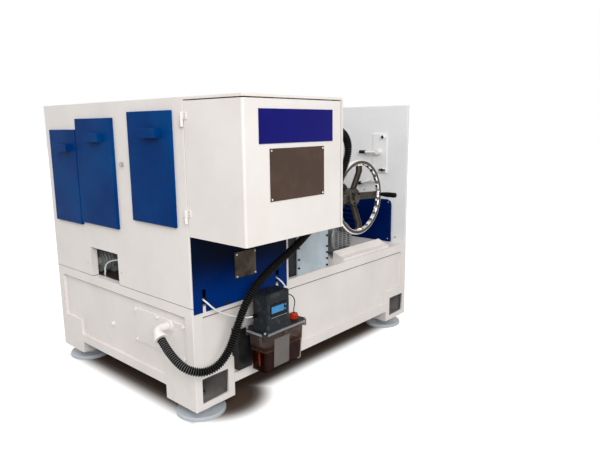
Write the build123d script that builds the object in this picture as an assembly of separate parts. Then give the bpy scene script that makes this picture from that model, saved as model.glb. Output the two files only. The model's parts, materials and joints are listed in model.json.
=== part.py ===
from build123d import *
import math
import os

# Nail making machine: a welded base on four levelling feet carries a sheet metal cabinet with lift-off covers,
# an overhanging hinged guard, an open bay with the flywheel handwheel, and a bought-in oil lubricator.
# Shop frame of all sizes below: x along the front from the base's left corner, y from the front of the base to
# its back, z up from the floor. Heights named "..._up" are measured from the top of the deck.

# Base
foot_gap = 64.0
base_length = 1736.0
base_depth = 1242.0
base_height = 476.0
cut_over = 4.0
sheet_radius = 3.0
seam_radius = 2.0

# Levelling feet
foot_inset = 106.0
pad_radius = 115.0
pad_thickness = 20.0
pad_bevel = 3.0
pad_hub_radius = 48.0
pad_hub_height = 12.0
screw_radius = 14.0
screw_hole_gap = 0.5
screw_above_nut = 30.0
nut_radius = 24.0
nut_height = 18.0
nut_sides = 6

# Legs
leg_width = 226.0
leg_height = 192.0
leg_wall = 12.0
leg_window_inset = 37.0
leg_window_edge = 39.0
leg_window_sill = 30.0
leg_window_height = 115.0

# Posts, rails and panels of the base
post_width = 55.0
deck_thickness = 12.0
top_rail_height = 35.0
rail_depth = 40.0
bottom_rail_low = 65.0
bottom_rail_height = 45.0
base_panel_recess = 14.0
base_panel_thickness = 6.0

# Bolted cover and conduit elbow on the left side of the base
hatch_front = 63.0
hatch_width = 404.0
hatch_low = 217.0
hatch_height = 169.0
hatch_thickness = 6.0
elbow_radius = 19.0
elbow_run = 46.0
elbow_bend = 30.0
elbow_nut_radius = 26.0
elbow_nut_length = 14.0
elbow_flange_radius = 30.0
elbow_flange_thickness = 8.0

# Cabinet walls and roof
body_height = 1360.0
left_wall_thickness = 34.0
back_wall_thickness = 20.0
end_wall_thickness = 17.0
roof_thickness = 12.0
roof_length = 588.0
window_back = 578.0
window_width = 265.0
window_height = 157.0

# Lift-off covers on the left wall
cover_thickness = 14.0
cover_fillet = 4.0
cover_gap = 8.0
front_cover_start = 72.0
front_cover_width = 323.0
front_cover_up = 347.0
front_cover_height = 486.0
middle_cover_start = 535.0
middle_cover_width = 345.0
middle_cover_up = 286.0
middle_cover_height = 524.0
rear_cover_width = 285.0
rear_cover_up = 271.0
rear_cover_height = 486.0
pull_width = 122.0
pull_height = 40.0
pull_depth = 26.0
pull_wall = 3.0
pull_below_top = 72.0
pull_shift = -28.0
pull_fillet = 2.0

# Lock on the left wall
lock_back = 475.0
lock_up = 598.0
lock_radius = 11.0
lock_length = 12.0
lock_slot_width = 3.0
lock_slot_depth = 4.0

# Hinged guard
guard_overhang = 351.0
guard_drop = 567.0
guard_thickness = 18.0
guard_fillet = 10.0
run_gap = 5.0
hood_side_thickness = 11.0
sign_left = 77.0
sign_width = 435.0
sign_low = 383.0
sign_height = 130.0
sign_thickness = 3.0
chart_left = 132.0
chart_width = 322.0
chart_low = 161.0
chart_height = 203.0
chart_thickness = 3.0

# Hinges of the guard
hinge_height = 58.0
hinge_leaf_width = 26.0
hinge_leaf_thickness = 4.0
hinge_barrel_radius = 7.0
hinge_pin_radius = 3.0
hinge_pin_gap = 0.08
hinge_split_gap = 0.3
hinge_low_up = 55.0
hinge_high_up = 449.0

# Lower front panel of the cabinet
front_panel_left = 8.0
front_panel_thickness = 5.0
front_panel_length = 577.0
front_panel_drop = 25.0
notch_width = 20.0
notch_height = 78.0
left_notch = 54.0
right_notch = 506.0
tool_plate_left = 233.0
tool_plate_width = 130.0
tool_plate_up = 86.0
tool_plate_height = 120.0
tool_plate_thickness = 4.0
panel_post_lap = 13.0
panel_post_width = 30.0
panel_post_depth = 24.0

# Machine bed with the slide housing in front of it
bed_set_in = 14.0
bed_to_end_wall = 179.0
bed_front = 430.0
bed_to_back_wall = 172.0
bed_height = 480.0
bed_shoulder_height = 260.0
bed_shoulder_length = 120.0
bed_fillet = 20.0
housing_gap = 24.0
housing_length = 330.0
housing_height = 310.0
housing_fillet = 8.0
housing_front = 26.0
slide_cover_left = 64.0
slide_cover_length = 252.0
slide_cover_height = 298.0
slide_cover_thickness = 8.0
slide_cover_corner = 44.0

# Handwheel, its shaft and the bearing that carries it
wheel_place_share = 1 / 3
wheel_up = 344.0
wheel_face = 60.0
wheel_radius = 222.0
rim_width = 30.0
rim_depth = 26.0
rim_fillet = 8.0
scallop_count = 24
scallop_radius = 20.0
scallop_depth = 6.0
hub_radius = 52.0
hub_length = 46.0
hub_fillet = 6.0
hub_set_back = 25.0
spoke_count = 4
spoke_width = 42.0
spoke_thickness = 16.0
spoke_root_drop = 10.0
spoke_bend_radius = 152.0
spoke_pocket_edge = 8.0
spoke_pocket_depth = 5.0
spoke_bite = 8.0
shaft_radius = 28.0
shaft_gap = 0.08
shaft_in_bed = 60.0
bearing_radius = 96.0
bearing_neck_radius = 76.0
bearing_front = 190.0
bearing_neck_length = 40.0
bearing_collar_radius = 46.0
bearing_collar_length = 14.0
wheel_nut_radius = 24.0
wheel_nut_length = 10.0
grip_radius = 15.5
grip_waist_radius = 11.5
grip_length = 116.0
grip_swell_share = 0.35
grip_stem_radius = 7.0
grip_stem_length = 10.0

# Motor with slotted fan cowl in the bay
motor_before_wheel = 82.0
motor_behind_tray = 16.0
motor_radius = 84.0
motor_length = 180.0
fin_count = 22
fin_height = 9.0
fin_width = 5.0
fin_sink = 3.0
cowl_radius = 100.0
cowl_length = 66.0
cowl_wall = 3.0
cowl_fillet = 10.0
cowl_clear = 2.0
slot_pitch = 13.0
slot_height = 6.5
slot_length = 29.0
slot_column_gap = 10.0
slot_columns = 4
slot_rows = 13
motor_foot_length = 120.0
motor_foot_width = 130.0
motor_shaft_radius = 14.0
motor_shaft_length = 40.0
terminal_length = 90.0
terminal_width = 80.0
terminal_height = 34.0

# Oil tray in front of the motor
tray_from_housing = 137.0
tray_to_end_wall = 156.0
tray_front = 24.0
tray_depth = 78.0
tray_back_height = 44.0
tray_lip_height = 12.0
tray_wall = 3.0

# Inside of the end wall: selector plate, levers and louvred cover
selector_front = 146.0
selector_width = 110.0
selector_up = 452.0
selector_height = 256.0
selector_thickness = 8.0
selector_fillet = 3.0
knob_radius = 10.0
knob_length = 22.0
knob_inset = 22.0
knob_bar_radius = 6.0
knob_bar_length = 44.0
lever_radius = 8.0
lever_length = 142.0
lever_stand = 24.0
lever_cap = 4.0
lever_grip_radius = 11.0
lever_grip_length = 46.0
upper_lever_up = 588.0
lower_lever_up = 407.0
lower_lever_front = 234.0
lower_lever_drop = 36.0
lever_pivot_radius = 15.0
louvre_cover_front = 106.0
louvre_cover_width = 470.0
louvre_cover_height = 280.0
louvre_cover_thickness = 18.0
louvre_cover_radius = 36.0
louvre_count = 6
louvre_pitch = 34.0
louvre_length = 200.0
louvre_height = 14.0
louvre_depth = 9.0
louvre_low = 50.0
louvre_edge = 30.0

# Lubricator on its bracket
bracket_length = 334.0
bracket_low = 130.0
bracket_height = 196.0
bracket_stand = 26.0
bracket_wall = 4.0
tank_from_bracket = 38.0
tank_length = 289.0
tank_depth = 138.0
tank_height = 190.0
tank_rim_height = 12.0
tank_draft = 9.0
tank_wall = 4.0
tank_fillet = 14.0
tank_rim_fillet = 18.0
tank_boss_radius = 9.0
tank_boss_height = 26.0
tank_boss_inset = 11.0
lid_height = 5.0
oil_share = 0.5
oil_gap = 0.3
head_from_tank = 26.0
head_length = 147.0
head_depth = 98.0
head_height = 178.0
head_fillet = 10.0
head_front_inset = 8.0
head_flare = 6.0
head_flare_height = 34.0
head_button_radius = 26.0
head_button_height = 3.0
display_width = 104.0
display_height = 66.0
display_low = 61.0
display_thickness = 3.0
cap_from_tank_end = 38.0
cap_radius = 19.0
cap_height = 26.0
cap_fillet = 4.0
cap_front_inset = 55.0
cap_rib_count = 14
cap_rib_radius = 2.2

# Drive seen through the window of the left wall
drive_set_in = 50.0
drive_back = 892.0
drive_radius = 60.0
drive_length = 220.0
drive_up = 62.0
drive_boss_radius = 24.0
drive_boss_length = 18.0
drive_groove_count = 3
drive_groove_depth = 8.0
drive_groove_width = 14.0
drive_pulley_length = 70.0
drive_foot_width = 100.0

# Free hoses: outside radius and route, in the shop frame
conduit_radius = 19.0
conduit_route = [
    (-66.0, 150.0, 398.0),
    (-72.0, 104.0, 368.0),
    (-74.0, 52.0, 338.0),
    (-68.0, -2.0, 308.0),
    (-46.0, -46.0, 290.0),
    (-8.0, -86.0, 286.0),
    (42.0, -112.0, 308.0),
    (88.0, -124.0, 358.0),
    (124.0, -126.0, 424.0),
    (160.0, -126.0, 494.0),
    (204.0, -124.0, 560.0),
    (266.0, -122.0, 616.0),
    (340.0, -122.0, 660.0),
    (418.0, -124.0, 698.0),
    (494.0, -128.0, 736.0),
    (562.0, -138.0, 780.0),
    (624.0, -154.0, 838.0),
    (672.0, -176.0, 908.0),
    (708.0, -200.0, 984.0),
    (738.0, -220.0, 1056.0),
    (766.0, -232.0, 1122.0),
    (782.0, -238.0, 1186.0),
    (764.0, -242.0, 1240.0),
    (720.0, -244.0, 1276.0),
    (664.0, -244.0, 1290.0),
    (612.0, -244.0, 1290.0),
]
conduit_gland_radius = 26.0
left_tube_route = [
    (56.0, 40.0, 576.0),
    (58.0, 8.0, 576.0),
    (66.0, -16.0, 562.0),
    (84.0, -28.0, 538.0),
    (110.0, -32.0, 514.0),
    (142.0, -36.0, 494.0),
    (176.0, -44.0, 478.0),
    (212.0, -60.0, 465.0),
    (250.0, -84.0, 456.0),
    (290.0, -84.0, 456.0),
]
right_tube_route = [
    (512.0, 40.0, 574.0),
    (514.0, 10.0, 574.0),
    (522.0, -14.0, 562.0),
    (532.0, -34.0, 540.0),
    (534.0, -54.0, 510.0),
    (520.0, -72.0, 482.0),
    (484.0, -84.0, 460.0),
    (437.0, -84.0, 460.0),
]
tube_radius = 4.0
tether_route = [
    (437.0, -106.0, 520.0),
    (468.0, -106.0, 520.0),
    (498.0, -109.0, 511.0),
    (519.0, -111.0, 491.0),
    (526.0, -112.0, 464.0),
    (515.0, -113.0, 440.0),
    (515.0, -113.0, 415.0),
]
tether_radius = 2.5
window_tube_route = [
    (52.0, 806.0, 556.0),
    (52.0, 806.0, 576.0),
    (52.0, 797.0, 594.0),
    (52.0, 779.0, 609.0),
    (52.0, 752.0, 622.0),
    (52.0, 720.0, 633.0),
    (52.0, 686.0, 641.0),
    (52.0, 650.0, 646.0),
    (52.0, 614.0, 647.0),
    (52.0, 582.0, 648.0),
    (52.0, 550.0, 648.0),
]
window_fitting_radius = 8.0
window_block_length = 20.0
window_block_height = 26.0
cord_fill_share = 0.45
cord_bend_share = 5.0

# Levels worked out from the sizes above
leg_top = foot_gap + leg_height
leg_window_width = leg_width - leg_window_inset - leg_window_edge
deck_top = foot_gap + base_height
deck_bottom = deck_top - deck_thickness
roof_top = foot_gap + body_height
roof_bottom = roof_top - roof_thickness
guard_top = roof_bottom - run_gap
guard_bottom = roof_top - guard_drop
hood_left = roof_length - hood_side_thickness
panel_low = deck_top - front_panel_drop
panel_top = guard_bottom - run_gap
panel_right = front_panel_left + front_panel_length
post_left = panel_right - panel_post_lap
rear_cover_start = middle_cover_start + middle_cover_width + cover_gap
wheel_height = deck_top + wheel_up
motor_height = deck_top + cowl_radius + cowl_clear
end_wall_face = base_length - end_wall_thickness
bay_left = post_left + panel_post_width + housing_gap
housing_right = bay_left + housing_length
bed_left = bay_left + bed_set_in
bed_length = end_wall_face - bed_to_end_wall - bed_left
bed_depth = base_depth - back_wall_thickness - bed_to_back_wall - bed_front
wheel_room = end_wall_face - housing_right - 2 * wheel_radius
wheel_right = housing_right + wheel_radius + wheel_place_share * wheel_room
tray_left = housing_right + tray_from_housing
tray_length = end_wall_face - tray_to_end_wall - tray_left
motor_right = wheel_right - motor_before_wheel
motor_front = tray_front + tray_depth + motor_behind_tray
bracket_left = leg_width
tank_left = bracket_left + tank_from_bracket
head_left = tank_left + head_from_tank
cap_right = tank_left + tank_length - cap_from_tank_end
tank_back = -(bracket_stand + bracket_wall)
tank_front = tank_back - tank_depth
tank_bottom = foot_gap + bracket_low
tank_top = tank_bottom + tank_height
lid_top = tank_top + lid_height


def block(low, high):
    size = Vector(*high) - Vector(*low)
    return Pos(*low) * Box(size.X, size.Y, size.Z, align=(Align.MIN, Align.MIN, Align.MIN))


def rod(start, end, radius):
    run = Vector(end) - Vector(start)
    shaft = Cylinder(radius, run.length, align=(Align.CENTER, Align.CENTER, Align.MIN))
    return Plane(origin=start, z_dir=run) * shaft


def upright_nut(x, y, low, radius, height):
    return Pos(x, y, low) * extrude(RegularPolygon(radius, nut_sides), height)


def turned(points, axis_plane):
    """A solid of revolution: radius and height pairs turned about the plane's own Z axis."""
    outline = make_face(Plane.XZ * Polyline(*points, close=True))
    return axis_plane * revolve(outline, Axis.Z)


def eased(solid, radius, *groups):
    """Rounds the edges that lie along the given axes, as the folds and ground welds of sheet metal are."""
    edges = [edge for axis in groups for edge in solid.edges().filter_by(axis)]
    return fillet(edges, radius)


def together(solids):
    """Like pieces of one node, as solids that stay apart."""
    return Compound(children=list(solids))


def foot_places():
    near = foot_inset
    right = base_length - foot_inset
    back = base_depth - foot_inset
    return [(near, near), (right, near), (near, back), (right, back)]


def foot_pads():
    hub_top = pad_thickness + pad_hub_height
    inner = pad_radius - pad_bevel
    shape = [
        (0, 0),
        (inner, 0),
        (pad_radius, pad_bevel),
        (pad_radius, pad_thickness - pad_bevel),
        (inner, pad_thickness),
        (pad_hub_radius, pad_thickness),
        (pad_hub_radius - pad_bevel, hub_top),
        (0, hub_top),
    ]
    return together(turned(shape, Plane(origin=(x, y, 0))) for x, y in foot_places())


def levelling_screws():
    screws = []
    low = pad_thickness + pad_hub_height
    floor_top = foot_gap + leg_wall
    for x, y in foot_places():
        screw = rod((x, y, low), (x, y, floor_top + nut_height + screw_above_nut), screw_radius)
        screw += upright_nut(x, y, foot_gap - nut_height, nut_radius, nut_height)
        screw += upright_nut(x, y, floor_top, nut_radius, nut_height)
        screws.append(screw)
    return together(screws)


def leg(at_right, at_back):
    """A welded box with a window for the spanner in the face that looks to the front or the back."""
    x = base_length - leg_width if at_right else 0
    y = base_depth - leg_width if at_back else 0
    box = block((x, y, foot_gap), (x + leg_width, y + leg_width, leg_top))
    inside_low = (x + leg_wall, y + leg_wall, foot_gap + leg_wall)
    inside_high = (x + leg_width - leg_wall, y + leg_width - leg_wall, leg_top - leg_wall)
    box -= block(inside_low, inside_high)
    window_x = x + (leg_width - leg_window_inset - leg_window_width if at_right else leg_window_inset)
    window_y = y + leg_width - leg_wall - cut_over if at_back else y - cut_over
    window_low = (window_x, window_y, foot_gap + leg_window_sill)
    window_high = (
        window_x + leg_window_width,
        window_y + leg_wall + 2 * cut_over,
        foot_gap + leg_window_sill + leg_window_height,
    )
    box -= block(window_low, window_high)
    foot_x = base_length - foot_inset if at_right else foot_inset
    foot_y = base_depth - foot_inset if at_back else foot_inset
    hole_low = (foot_x, foot_y, foot_gap - cut_over)
    hole_high = (foot_x, foot_y, foot_gap + leg_wall + cut_over)
    box -= rod(hole_low, hole_high, screw_radius + screw_hole_gap)
    corners = [(x + a, y + b, foot_gap) for a in (0, leg_width) for b in (0, leg_width)]
    upright = box.edges().filter_by(Axis.Z)
    return fillet([upright.sort_by_distance(corner)[0] for corner in corners], sheet_radius)


def corner_posts():
    posts = []
    for x in (0, base_length - post_width):
        for y in (0, base_depth - post_width):
            post = block((x, y, leg_top), (x + post_width, y + post_width, deck_bottom))
            outer = (x + post_width if x else x, y + post_width if y else y, leg_top)
            corner = post.edges().filter_by(Axis.Z).sort_by_distance(outer)[0]
            posts.append(fillet(corner, sheet_radius))
    return together(posts)


def rail_pairs(low, high, inset):
    """Two rails along the length and two along the depth, butted between what stands in the corners."""
    across = base_length - inset
    along = base_depth - inset
    rails = []
    for y in (0, base_depth - rail_depth):
        rails.append(block((inset, y, low), (across, y + rail_depth, high)))
    for x in (0, base_length - rail_depth):
        rails.append(block((x, inset, low), (x + rail_depth, along, high)))
    return together(rails)


def top_rails():
    return rail_pairs(deck_bottom - top_rail_height, deck_bottom, post_width)


def bottom_rails():
    low = foot_gap + bottom_rail_low
    return rail_pairs(low, low + bottom_rail_height, leg_width)


def long_panel(at_back):
    """Recessed sheet between the posts and rails, notched round the two legs."""
    face = base_depth - base_panel_recess - base_panel_thickness if at_back else base_panel_recess
    low = foot_gap + bottom_rail_low + bottom_rail_height
    high = deck_bottom - top_rail_height
    sheet = block((post_width, face, low), (base_length - post_width, face + base_panel_thickness, high))
    for x in (0, base_length - leg_width):
        notch_high = (x + leg_width, face + base_panel_thickness + cut_over, leg_top)
        sheet -= block((x, face - cut_over, low - cut_over), notch_high)
    return sheet


def side_panel(at_right):
    face = base_length - base_panel_recess - base_panel_thickness if at_right else base_panel_recess
    low = foot_gap + bottom_rail_low + bottom_rail_height
    high = deck_bottom - top_rail_height
    sheet = block((face, post_width, low), (face + base_panel_thickness, base_depth - post_width, high))
    for y in (0, base_depth - leg_width):
        notch_high = (face + base_panel_thickness + cut_over, y + leg_width, leg_top)
        sheet -= block((face - cut_over, y, low - cut_over), notch_high)
    return sheet


def base_panels():
    return together((long_panel(False), long_panel(True), side_panel(False), side_panel(True)))


def deck():
    """Plate with an eased upper edge."""
    plate = block((0, 0, deck_bottom), (base_length, base_depth, deck_top))
    plate = eased(plate, sheet_radius, Axis.Z)
    return fillet(plate.faces().sort_by(Axis.Z)[-1].edges(), seam_radius)


def base_hatch():
    low = (base_panel_recess - hatch_thickness, hatch_front, foot_gap + hatch_low)
    high = (base_panel_recess, hatch_front + hatch_width, foot_gap + hatch_low + hatch_height)
    plate = block(low, high)
    return fillet(plate.faces().sort_by(Axis.X)[0].edges(), seam_radius)


def conduit_elbow():
    """Flange on the hatch, a bent pipe, and the nut that holds the conduit, pointing down to the front."""
    face = base_panel_recess - hatch_thickness
    end = Vector(conduit_route[0])
    leave = (Vector(conduit_route[1]) - end).normalized()
    turn = end - leave * elbow_run
    root = Vector(face, turn.Y, turn.Z)
    nut_start = end - leave * elbow_nut_length
    path = FilletPolyline(root, turn, nut_start, radius=elbow_bend)
    pipe = sweep(Plane(origin=root, z_dir=turn - root) * Circle(elbow_radius), path)
    pipe += rod(root, root - Vector(elbow_flange_thickness, 0, 0), elbow_flange_radius)
    return pipe + rod(nut_start, end, elbow_nut_radius)


def left_wall():
    wall = block((0, 0, deck_top), (left_wall_thickness, base_depth, roof_bottom))
    wall = eased(wall, sheet_radius, Axis.Z)
    window_low = (-cut_over, window_back, deck_top - cut_over)
    window_high = (left_wall_thickness + cut_over, window_back + window_width, deck_top + window_height)
    return wall - block(window_low, window_high)


def cover(start, width, up, height):
    plate = block((-cover_thickness, start, deck_top + up), (0, start + width, deck_top + up + height))
    outer = plate.faces().sort_by(Axis.X)[0]
    return fillet(outer.edges(), cover_fillet)


def cover_places():
    return [
        (front_cover_start, front_cover_width, front_cover_up, front_cover_height),
        (middle_cover_start, middle_cover_width, middle_cover_up, middle_cover_height),
        (rear_cover_start, rear_cover_width, rear_cover_up, rear_cover_height),
    ]


def pull(start, width, up, height):
    """Bent sheet pull: a hood with a top, a front and two ends, open underneath for the fingers."""
    middle = start + width / 2 + pull_shift
    top = deck_top + up + height - pull_below_top
    face = -cover_thickness - pull_depth
    left = middle - pull_width / 2
    right = middle + pull_width / 2
    hood = block((face, left, top - pull_height), (-cover_thickness, right, top))
    outer = hood.faces().sort_by(Axis.X)[0].edges().sort_by(Axis.Z)[1:]
    hood = fillet(outer, pull_fillet)
    hollow_low = (face + pull_wall, left + pull_wall, top - pull_height - cut_over)
    hollow_high = (-cover_thickness + cut_over, right - pull_wall, top - pull_wall)
    return hood - block(hollow_low, hollow_high)


def cover_pulls():
    return together(pull(*place) for place in cover_places())


def cabinet_lock():
    height = deck_top + lock_up
    barrel = rod((0, lock_back, height), (-lock_length, lock_back, height), lock_radius)
    slot_low = (-lock_length - cut_over, lock_back - lock_slot_width / 2, height - lock_radius / 2)
    slot_high = (-lock_length + lock_slot_depth, lock_back + lock_slot_width / 2, height + lock_radius / 2)
    return barrel - block(slot_low, slot_high)


def roof():
    high = (roof_length, base_depth - back_wall_thickness, roof_top)
    sheet = eased(block((0, -guard_overhang, roof_bottom), high), sheet_radius, Axis.Z)
    return fillet(sheet.faces().sort_by(Axis.Z)[-1].edges(), sheet_radius)


def back_wall():
    low = (left_wall_thickness, base_depth - back_wall_thickness, deck_top)
    wall = block(low, (end_wall_face, base_depth, roof_bottom))
    return wall + block((0, low[1], roof_bottom), (end_wall_face, base_depth, roof_top))


def end_wall():
    sheet = block((end_wall_face, 0, deck_top), (base_length, base_depth, roof_top))
    sheet = eased(sheet, sheet_radius, Axis.Z)
    return fillet(sheet.faces().sort_by(Axis.Z)[-1].edges(), sheet_radius)


def hood_side():
    low = (hood_left, -guard_overhang, guard_bottom)
    return block(low, (roof_length, base_depth - back_wall_thickness, roof_bottom))


def guard():
    """Two faces of one folded sheet frame: the short one hangs on the hinges, the long one closes the front."""
    outline = Polyline(
        (0, -run_gap),
        (0, -guard_overhang),
        (hood_left - run_gap, -guard_overhang),
        (hood_left - run_gap, -guard_overhang + guard_thickness),
        (guard_thickness, -guard_overhang + guard_thickness),
        (guard_thickness, -run_gap),
        close=True,
    )
    shell = Pos(0, 0, guard_bottom) * extrude(make_face(outline), guard_top - guard_bottom)
    corner = shell.edges().filter_by(Axis.Z).sort_by_distance((0, -guard_overhang, guard_bottom))[0]
    shell = fillet(corner, guard_fillet)
    free_end = shell.faces().sort_by(Axis.X)[-1].edges().filter_by(Axis.Z)
    shell = fillet(free_end, sheet_radius)
    return fillet(shell.faces().sort_by(Axis.Z)[0].edges(), seam_radius)


def guard_sign():
    low = (sign_left, -guard_overhang - sign_thickness, guard_bottom + sign_low)
    return block(low, (sign_left + sign_width, -guard_overhang, guard_bottom + sign_low + sign_height))


def guard_chart():
    low = (chart_left, -guard_overhang - chart_thickness, guard_bottom + chart_low)
    return block(low, (chart_left + chart_width, -guard_overhang, guard_bottom + chart_low + chart_height))


def hinge_lows():
    return [guard_bottom + hinge_low_up, guard_bottom + hinge_high_up]


def hinge_half(low, high, side):
    """One leaf flat on its sheet, with its half of the barrel: side is +1 for the wall and -1 for the guard."""
    axis = -hinge_barrel_radius
    leaf = block(
        (-hinge_leaf_thickness, min(side * run_gap, side * hinge_leaf_width), low),
        (0, max(side * run_gap, side * hinge_leaf_width), high),
    )
    web = block(
        (-hinge_leaf_thickness, min(0, side * run_gap), low),
        (0, max(0, side * run_gap), high),
    )
    return leaf + web + rod((axis, 0, low), (axis, 0, high), hinge_barrel_radius)


def wall_hinges():
    halves = []
    for low in hinge_lows():
        middle = low + hinge_height / 2
        half = hinge_half(low, middle - hinge_split_gap, 1)
        pin_top = (-hinge_barrel_radius, 0, low + hinge_height)
        halves.append(half + rod((-hinge_barrel_radius, 0, low), pin_top, hinge_pin_radius))
    return together(halves)


def guard_hinges():
    halves = []
    for low in hinge_lows():
        middle = low + hinge_height / 2
        half = hinge_half(middle, low + hinge_height, -1)
        bore_low = (-hinge_barrel_radius, 0, middle - cut_over)
        bore_high = (-hinge_barrel_radius, 0, low + hinge_height + cut_over)
        halves.append(half - rod(bore_low, bore_high, hinge_pin_radius + hinge_pin_gap))
    return together(halves)


def front_panel():
    """Sheet that hangs over the deck's front edge, slotted from below for the two oil tubes."""
    sheet = block((front_panel_left, -front_panel_thickness, panel_low), (panel_right, 0, panel_top))
    for start in (left_notch, right_notch):
        notch_low = (start, -front_panel_thickness - cut_over, panel_low - cut_over)
        sheet -= block(notch_low, (start + notch_width, cut_over, deck_top + notch_height))
    return sheet


def tool_plate():
    left = front_panel_left + tool_plate_left
    low = (left, -front_panel_thickness - tool_plate_thickness, deck_top + tool_plate_up)
    high = (left + tool_plate_width, -front_panel_thickness, deck_top + tool_plate_up + tool_plate_height)
    return block(low, high)


def panel_post():
    return block((post_left, 0, deck_top), (post_left + panel_post_width, panel_post_depth, panel_top))


def machine_bed():
    """Cast bed: a wide foot with sloping shoulders under a narrower top, bored for the wheel's shaft."""
    right = bed_left + bed_length
    top = deck_top + bed_height
    shoulder = deck_top + bed_shoulder_height
    profile = Polyline(
        (bed_left, deck_top),
        (right, deck_top),
        (right, shoulder),
        (right - bed_shoulder_length, top),
        (bed_left + bed_shoulder_length, top),
        (bed_left, shoulder),
        close=True,
    )
    side = Plane(origin=(0, bed_front, 0), x_dir=(1, 0, 0), z_dir=(0, -1, 0))
    casting = extrude(side * make_face(profile), -bed_depth)
    upper = casting.edges().filter_by(Axis.Y).group_by(Axis.Z)[1:]
    casting = fillet([edge for level in upper for edge in level], bed_fillet)
    bore_start = (wheel_right, bed_front - cut_over, wheel_height)
    bore_end = (wheel_right, bed_front + shaft_in_bed, wheel_height)
    return casting - rod(bore_start, bore_end, shaft_radius + shaft_gap)


def slide_housing():
    low = (bay_left, housing_front, deck_top)
    body = block(low, (housing_right, bed_front, deck_top + housing_height))
    upright = body.edges().filter_by(Axis.Z)
    top = body.faces().sort_by(Axis.Z)[-1].edges()
    return fillet(upright + top, housing_fillet)


def slide_cover():
    left = bay_left + slide_cover_left
    low = (left, housing_front - slide_cover_thickness, deck_top)
    high = (left + slide_cover_length, housing_front, deck_top + slide_cover_height)
    plate = block(low, high)
    corner = plate.edges().filter_by(Axis.Y).sort_by_distance((left, housing_front, high[2]))[0]
    return chamfer(corner, slide_cover_corner)


def wheel_plane():
    """Frame of the wheel: its Z axis points out of the machine, towards the hand."""
    return Plane(origin=(wheel_right, wheel_face, wheel_height), x_dir=(1, 0, 0), z_dir=(0, -1, 0))


def wheel_spoke():
    """A bar that rises from the hub to the rim's plane, with a pocket in its face between two ribs."""
    root = hub_radius - spoke_bite
    tip = wheel_radius - rim_width + spoke_bite
    rise = hub_set_back + spoke_root_drop + spoke_thickness / 2
    half = spoke_width / 2

    def bar(top, bottom, half_width):
        """The bar's side outline between two heights above its own middle, carried across its width."""
        outline = Polyline(
            (root, top - rise),
            (spoke_bend_radius, top),
            (tip, top),
            (tip, bottom),
            (spoke_bend_radius, bottom),
            (root, bottom - rise),
            close=True,
        )
        return extrude(Plane.XZ * make_face(outline), half_width, both=True)

    face = spoke_thickness / 2
    pocket = bar(face + cut_over, face - spoke_pocket_depth, half - spoke_pocket_edge)
    return bar(face, -face, half) - pocket


def handwheel():
    """Dished cast wheel: scalloped rim, cranked ribbed spokes, and a hub set back from the rim."""
    inner = wheel_radius - rim_width
    section = RectangleRounded(rim_width, rim_depth, rim_fillet)
    wheel = revolve(Plane.XZ * Pos(inner + rim_width / 2, 0) * section, Axis.Z)
    scallop = Cylinder(scallop_radius, rim_depth + 2 * cut_over)
    cutter = Pos(inner + scallop_depth - scallop_radius, 0) * scallop
    for index in range(scallop_count):
        wheel -= Rot(0, 0, (index + 1 / 2) * 360 / scallop_count) * cutter
    hub = Pos(0, 0, -hub_set_back - hub_length) * Cylinder(
        hub_radius, hub_length, align=(Align.CENTER, Align.CENTER, Align.MIN)
    )
    wheel += fillet(hub.faces().sort_by(Axis.Z)[-1].edges(), hub_fillet)
    spoke = wheel_spoke()
    for index in range(spoke_count):
        wheel += Rot(0, 0, index * 360 / spoke_count) * spoke
    bore = Pos(0, 0, -hub_set_back - hub_length / 2) * Cylinder(shaft_radius, hub_length + 2 * cut_over)
    return wheel_plane() * (wheel - bore)


def wheel_shaft():
    """Shaft from the hub's face back into the bed, with the retaining nut in front."""
    hub_face = wheel_face + hub_set_back
    end = bed_front + shaft_in_bed - cut_over
    shaft = rod((wheel_right, hub_face, wheel_height), (wheel_right, end, wheel_height), shaft_radius)
    front = Plane(origin=(wheel_right, hub_face, wheel_height), x_dir=(1, 0, 0), z_dir=(0, -1, 0))
    return shaft + front * extrude(RegularPolygon(wheel_nut_radius, nut_sides), wheel_nut_length)


def wheel_bearing():
    """Flanged bearing barrel on the front of the bed, with a neck and a collar round the shaft."""
    length = bed_front - bearing_front
    neck = length - bearing_neck_length
    shape = [
        (shaft_radius + shaft_gap, 0),
        (bearing_radius, 0),
        (bearing_radius, neck),
        (bearing_neck_radius, neck + bearing_neck_length / 2),
        (bearing_neck_radius, length),
        (bearing_collar_radius, length),
        (bearing_collar_radius, length + bearing_collar_length),
        (shaft_radius + shaft_gap, length + bearing_collar_length),
    ]
    back = Plane(origin=(wheel_right, bed_front, wheel_height), x_dir=(1, 0, 0), z_dir=(0, -1, 0))
    return turned(shape, back)


def wheel_grip():
    """Turned grip on a short stem, standing out of the rim towards the hand."""
    end = grip_length
    shape = [
        (0, 0),
        (grip_stem_radius, 0),
        (grip_stem_radius, grip_stem_length),
        (grip_waist_radius, grip_stem_length),
        (grip_radius, grip_stem_length + grip_length * grip_swell_share),
        (grip_radius, end - grip_radius / 2),
        (grip_radius / 2, end),
        (0, end),
    ]
    rim_middle = wheel_right + wheel_radius - rim_width / 2
    rim_face = wheel_face - rim_depth / 2
    return turned(shape, Plane(origin=(rim_middle, rim_face, wheel_height), x_dir=(1, 0, 0), z_dir=(0, -1, 0)))


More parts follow.
